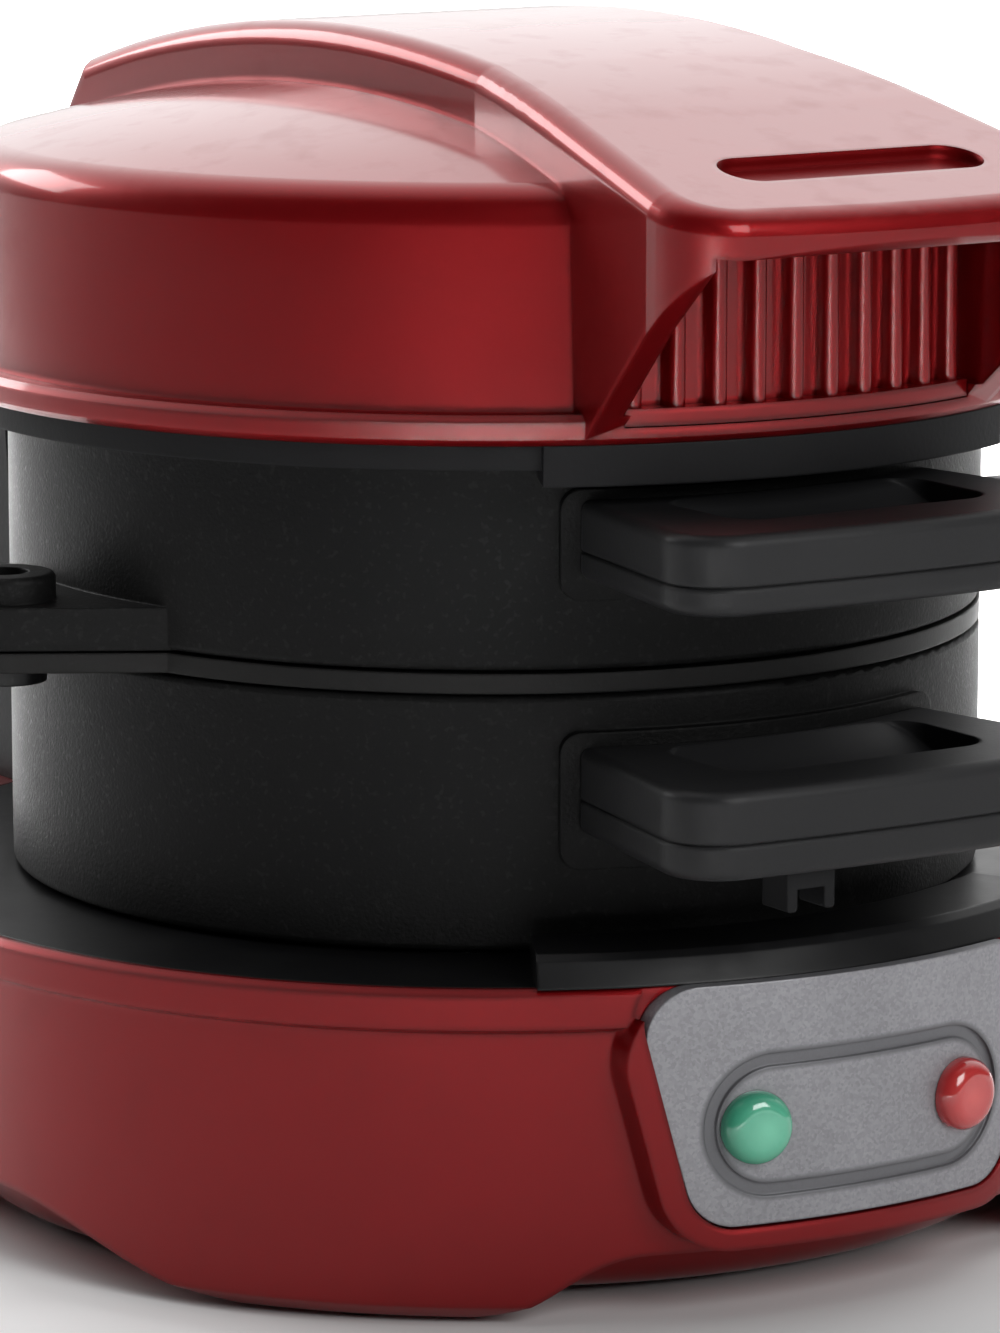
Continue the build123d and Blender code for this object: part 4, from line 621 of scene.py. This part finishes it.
# ------------------------------------------------------------------ grille
# Curved strip with ten upright ribs in the mouth of the lip, moulded in the cover's red and
# clipped in from behind. A sill runs along its foot.
grille_low, grille_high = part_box("cover_grille")
grille_face_r = 0.067
grille_back_r = 0.0646
grille_sill_r = -grille_low.y
grille_sill_height = 0.002
grille_sill_top = grille_low.z + grille_sill_height
grille_section = [
    (grille_back_r, grille_low.z),
    (grille_sill_r, grille_low.z),
    (grille_sill_r, grille_sill_top),
    (grille_face_r, grille_sill_top),
    (grille_face_r, grille_high.z),
    (grille_back_r, grille_high.z),
]
grille_columns = 41
grille_plate = bmesh.new()
grille_rows = []
for column in range(grille_columns):
    x = grille_low.x + (grille_high.x - grille_low.x) * column / (grille_columns - 1)
    grille_rows.append(
        [grille_plate.verts.new((x, -sqrt(r * r - x * x), z)) for r, z in grille_section]
    )
for here, there in zip(grille_rows, grille_rows[1:]):
    for corner in range(len(here)):
        after = (corner + 1) % len(here)
        grille_plate.faces.new((here[corner], here[after], there[after], there[corner]))
grille_plate.faces.new(grille_rows[0][::-1])
grille_plate.faces.new(grille_rows[-1])
bmesh.ops.recalc_face_normals(grille_plate, faces=grille_plate.faces)
grille_mesh = bpy.data.meshes.new("grille_strip")
grille_plate.to_mesh(grille_mesh)
grille_plate.free()
grille_mesh.materials.append(red_gloss.material)

rib_shape = Shape(
    "ribs",
    Count=10,
    Pitch=0.005,
    Width=0.002,
    Depth=0.0052,
    Foot=0.104,
    Top=0.127,
    Radius=grille_face_r,
)
rib_stations = 24
rib_end_power, rib_end_share = 16, 0.6  # the rounding of the ends, and how far they narrow
rib_corner_share, rib_corner_points = 0.45, 5
rib_first = 0 - (rib_shape.size("Count") - 1) * rib_shape.size("Pitch") / 2
rib_row = rib_shape.add(
    "GeometryNodeMeshLine",
    {},
    {
        "Count": rib_shape.size("Count"),
        "Start Location": rib_shape.spot(rib_first, 0, 0),
        "Offset": rib_shape.spot(rib_shape.size("Pitch"), 0, 0),
    },
)
rib_place = rib_shape.add("GeometryNodeInputPosition")
rib_x = rib_shape.add("ShaderNodeSeparateXYZ", {}, {0: rib_place}, "X")
rib_y = 0 - (rib_shape.size("Radius") ** 2 - rib_x * rib_x) ** 0.5
rib_row = rib_shape.add(
    "GeometryNodeSetPosition", {}, {0: rib_row, "Position": rib_shape.spot(rib_x, rib_y, 0)}
)
rib_line = rib_shape.add(
    "GeometryNodeCurvePrimitiveLine",
    {},
    {
        "Start": rib_shape.spot(0, 0, rib_shape.size("Foot")),
        "End": rib_shape.spot(0, 0, rib_shape.size("Top")),
    },
)
rib_line = rib_shape.add(
    "GeometryNodeResampleCurve", {}, {"Curve": rib_line, "Count": rib_stations}
)
rib_along = rib_shape.add("GeometryNodeSplineParameter", {}, {}, "Factor")
rib_end = (rib_along * 2 - 1) ** 2
rib_girth = (1 - rib_end**rib_end_power) ** 0.5 * rib_end_share + (1 - rib_end_share)
rib_line = rib_shape.add("GeometryNodeSetCurveRadius", {}, {0: rib_line, "Radius": rib_girth})
rib_section = rib_shape.add(
    "GeometryNodeCurvePrimitiveQuadrilateral",
    {},
    {"Width": rib_shape.size("Width"), "Height": rib_shape.size("Depth")},
)
rib_section = rib_shape.add(
    "GeometryNodeFilletCurve",
    {"mode": "POLY"},
    {
        "Curve": rib_section,
        "Radius": rib_shape.size("Width") * rib_corner_share,
        "Count": rib_corner_points,
    },
)
rib = rib_shape.add(
    "GeometryNodeCurveToMesh",
    {},
    {"Curve": rib_line, "Profile Curve": rib_section, "Fill Caps": True},
)
rib = rib_shape.add("GeometryNodeSetShadeSmooth", {}, {0: rib})
ribs = rib_shape.add("GeometryNodeInstanceOnPoints", {}, {"Points": rib_row, "Instance": rib})
rib_all = rib_shape.add("GeometryNodeJoinGeometry")
for part in (ribs, rib_shape.size("Geometry")):
    rib_shape.tree.links.new(part.socket, rib_all.socket.node.inputs[0])
rib_shape.close(rib_all, red_gloss)
grille = rib_shape.make("grille_with_ribs", grille_mesh, Foot=grille_low.z, Top=grille_high.z)
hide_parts("cover_grille")
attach(grille, "cover_body")

# ------------------------------------------------------------------ floor and light
# A pale matt table top that runs out of sight, under a sky that is bright behind and above the
# object and dim in front of it, as in a studio with a lit backdrop. Soft boxes hang over the floor
# behind and in front, and stand at the left rear and to the right of the camera.
floor_mesh = bpy.data.meshes.new("floor")
floor_reach = 8.0
floor_corners = [
    (-floor_reach, -floor_reach, 0),
    (floor_reach, -floor_reach, 0),
    (floor_reach, floor_reach, 0),
    (-floor_reach, floor_reach, 0),
]
floor_mesh.from_pydata(floor_corners, [], [(0, 1, 2, 3)])
floor = bpy.data.objects.new("floor", floor_mesh)
bpy.context.scene.collection.objects.link(floor)
pale_top = Finish("pale_top")
pale_grain = pale_top.noise(0.05, 2)
pale_top.surface(
    Base_Color=pale_top.blend(pale_grain, (0.79, 0.79, 0.79, 1), (0.83, 0.83, 0.83, 1)),
    Roughness=0.9,
    Specular_IOR_Level=0.1,
)
floor_mesh.materials.append(pale_top.material)

bpy.context.scene.view_settings.view_transform = "Standard"
sky_world = bpy.data.worlds.new("sky")
bpy.context.scene.world = sky_world
sky_world.use_nodes = True
sky = Nodes(sky_world.node_tree)
sky_bright_way = (0.38, 0.58, 0.72)
sky_dim, sky_bright = 0.04, 1.8
sky_way = sky.add("ShaderNodeTexCoord", out="Generated")
sky_rise = sky.add(
    "ShaderNodeVectorMath", {"operation": "DOT_PRODUCT"}, {0: sky_way, 1: sky_bright_way}, "Value"
)
sky_glow = sky.add(
    "ShaderNodeMapRange",
    {"interpolation_type": "SMOOTHSTEP"},
    {
        "Value": sky_rise,
        "From Min": 0.3,
        "From Max": 1.0,
        "To Min": sky_dim,
        "To Max": sky_bright,
    },
)
sky_light = sky.add("ShaderNodeBackground", {}, {"Color": (1, 1, 1, 1), "Strength": sky_glow})
sky.add("ShaderNodeOutputWorld", {}, {"Surface": sky_light})


def soft_box(name, place, aim, width, depth, power, spread=180, mirrored=True):
    """A rectangular studio light with its spread in degrees, mirrored by glossy surfaces or not."""
    light = bpy.data.lights.new(name, "AREA")
    light.shape, light.size, light.size_y, light.energy = "RECTANGLE", width, depth, power
    light.spread = radians(spread)
    box = bpy.data.objects.new(name, light)
    bpy.context.scene.collection.objects.link(box)
    box.location = place
    box.rotation_mode = "QUATERNION"
    box.rotation_quaternion = (Vector(place) - Vector(aim)).to_track_quat("Z", "Y")
    box.visible_camera, box.visible_glossy = False, mirrored


soft_box(
    "over_floor",
    (0.57, 0.9, 1.2),
    (0.57, 0.9, 0),
    width=1.3,
    depth=1.3,
    power=40,
    spread=40,
    mirrored=False,
)
soft_box(
    "over_front_floor",
    (-0.5, -0.75, 0.9),
    (-0.5, -0.75, 0),
    width=0.4,
    depth=0.4,
    power=9,
    spread=50,
    mirrored=False,
)
soft_box("right_of_camera", (0.2, -1.3, 0.75), (0, 0, 0.07), width=0.7, depth=0.7, power=10)
soft_box("left_rear", (-0.6, 1.25, 0.7), (0, 0, 0.1), width=0.8, depth=0.5, power=9)
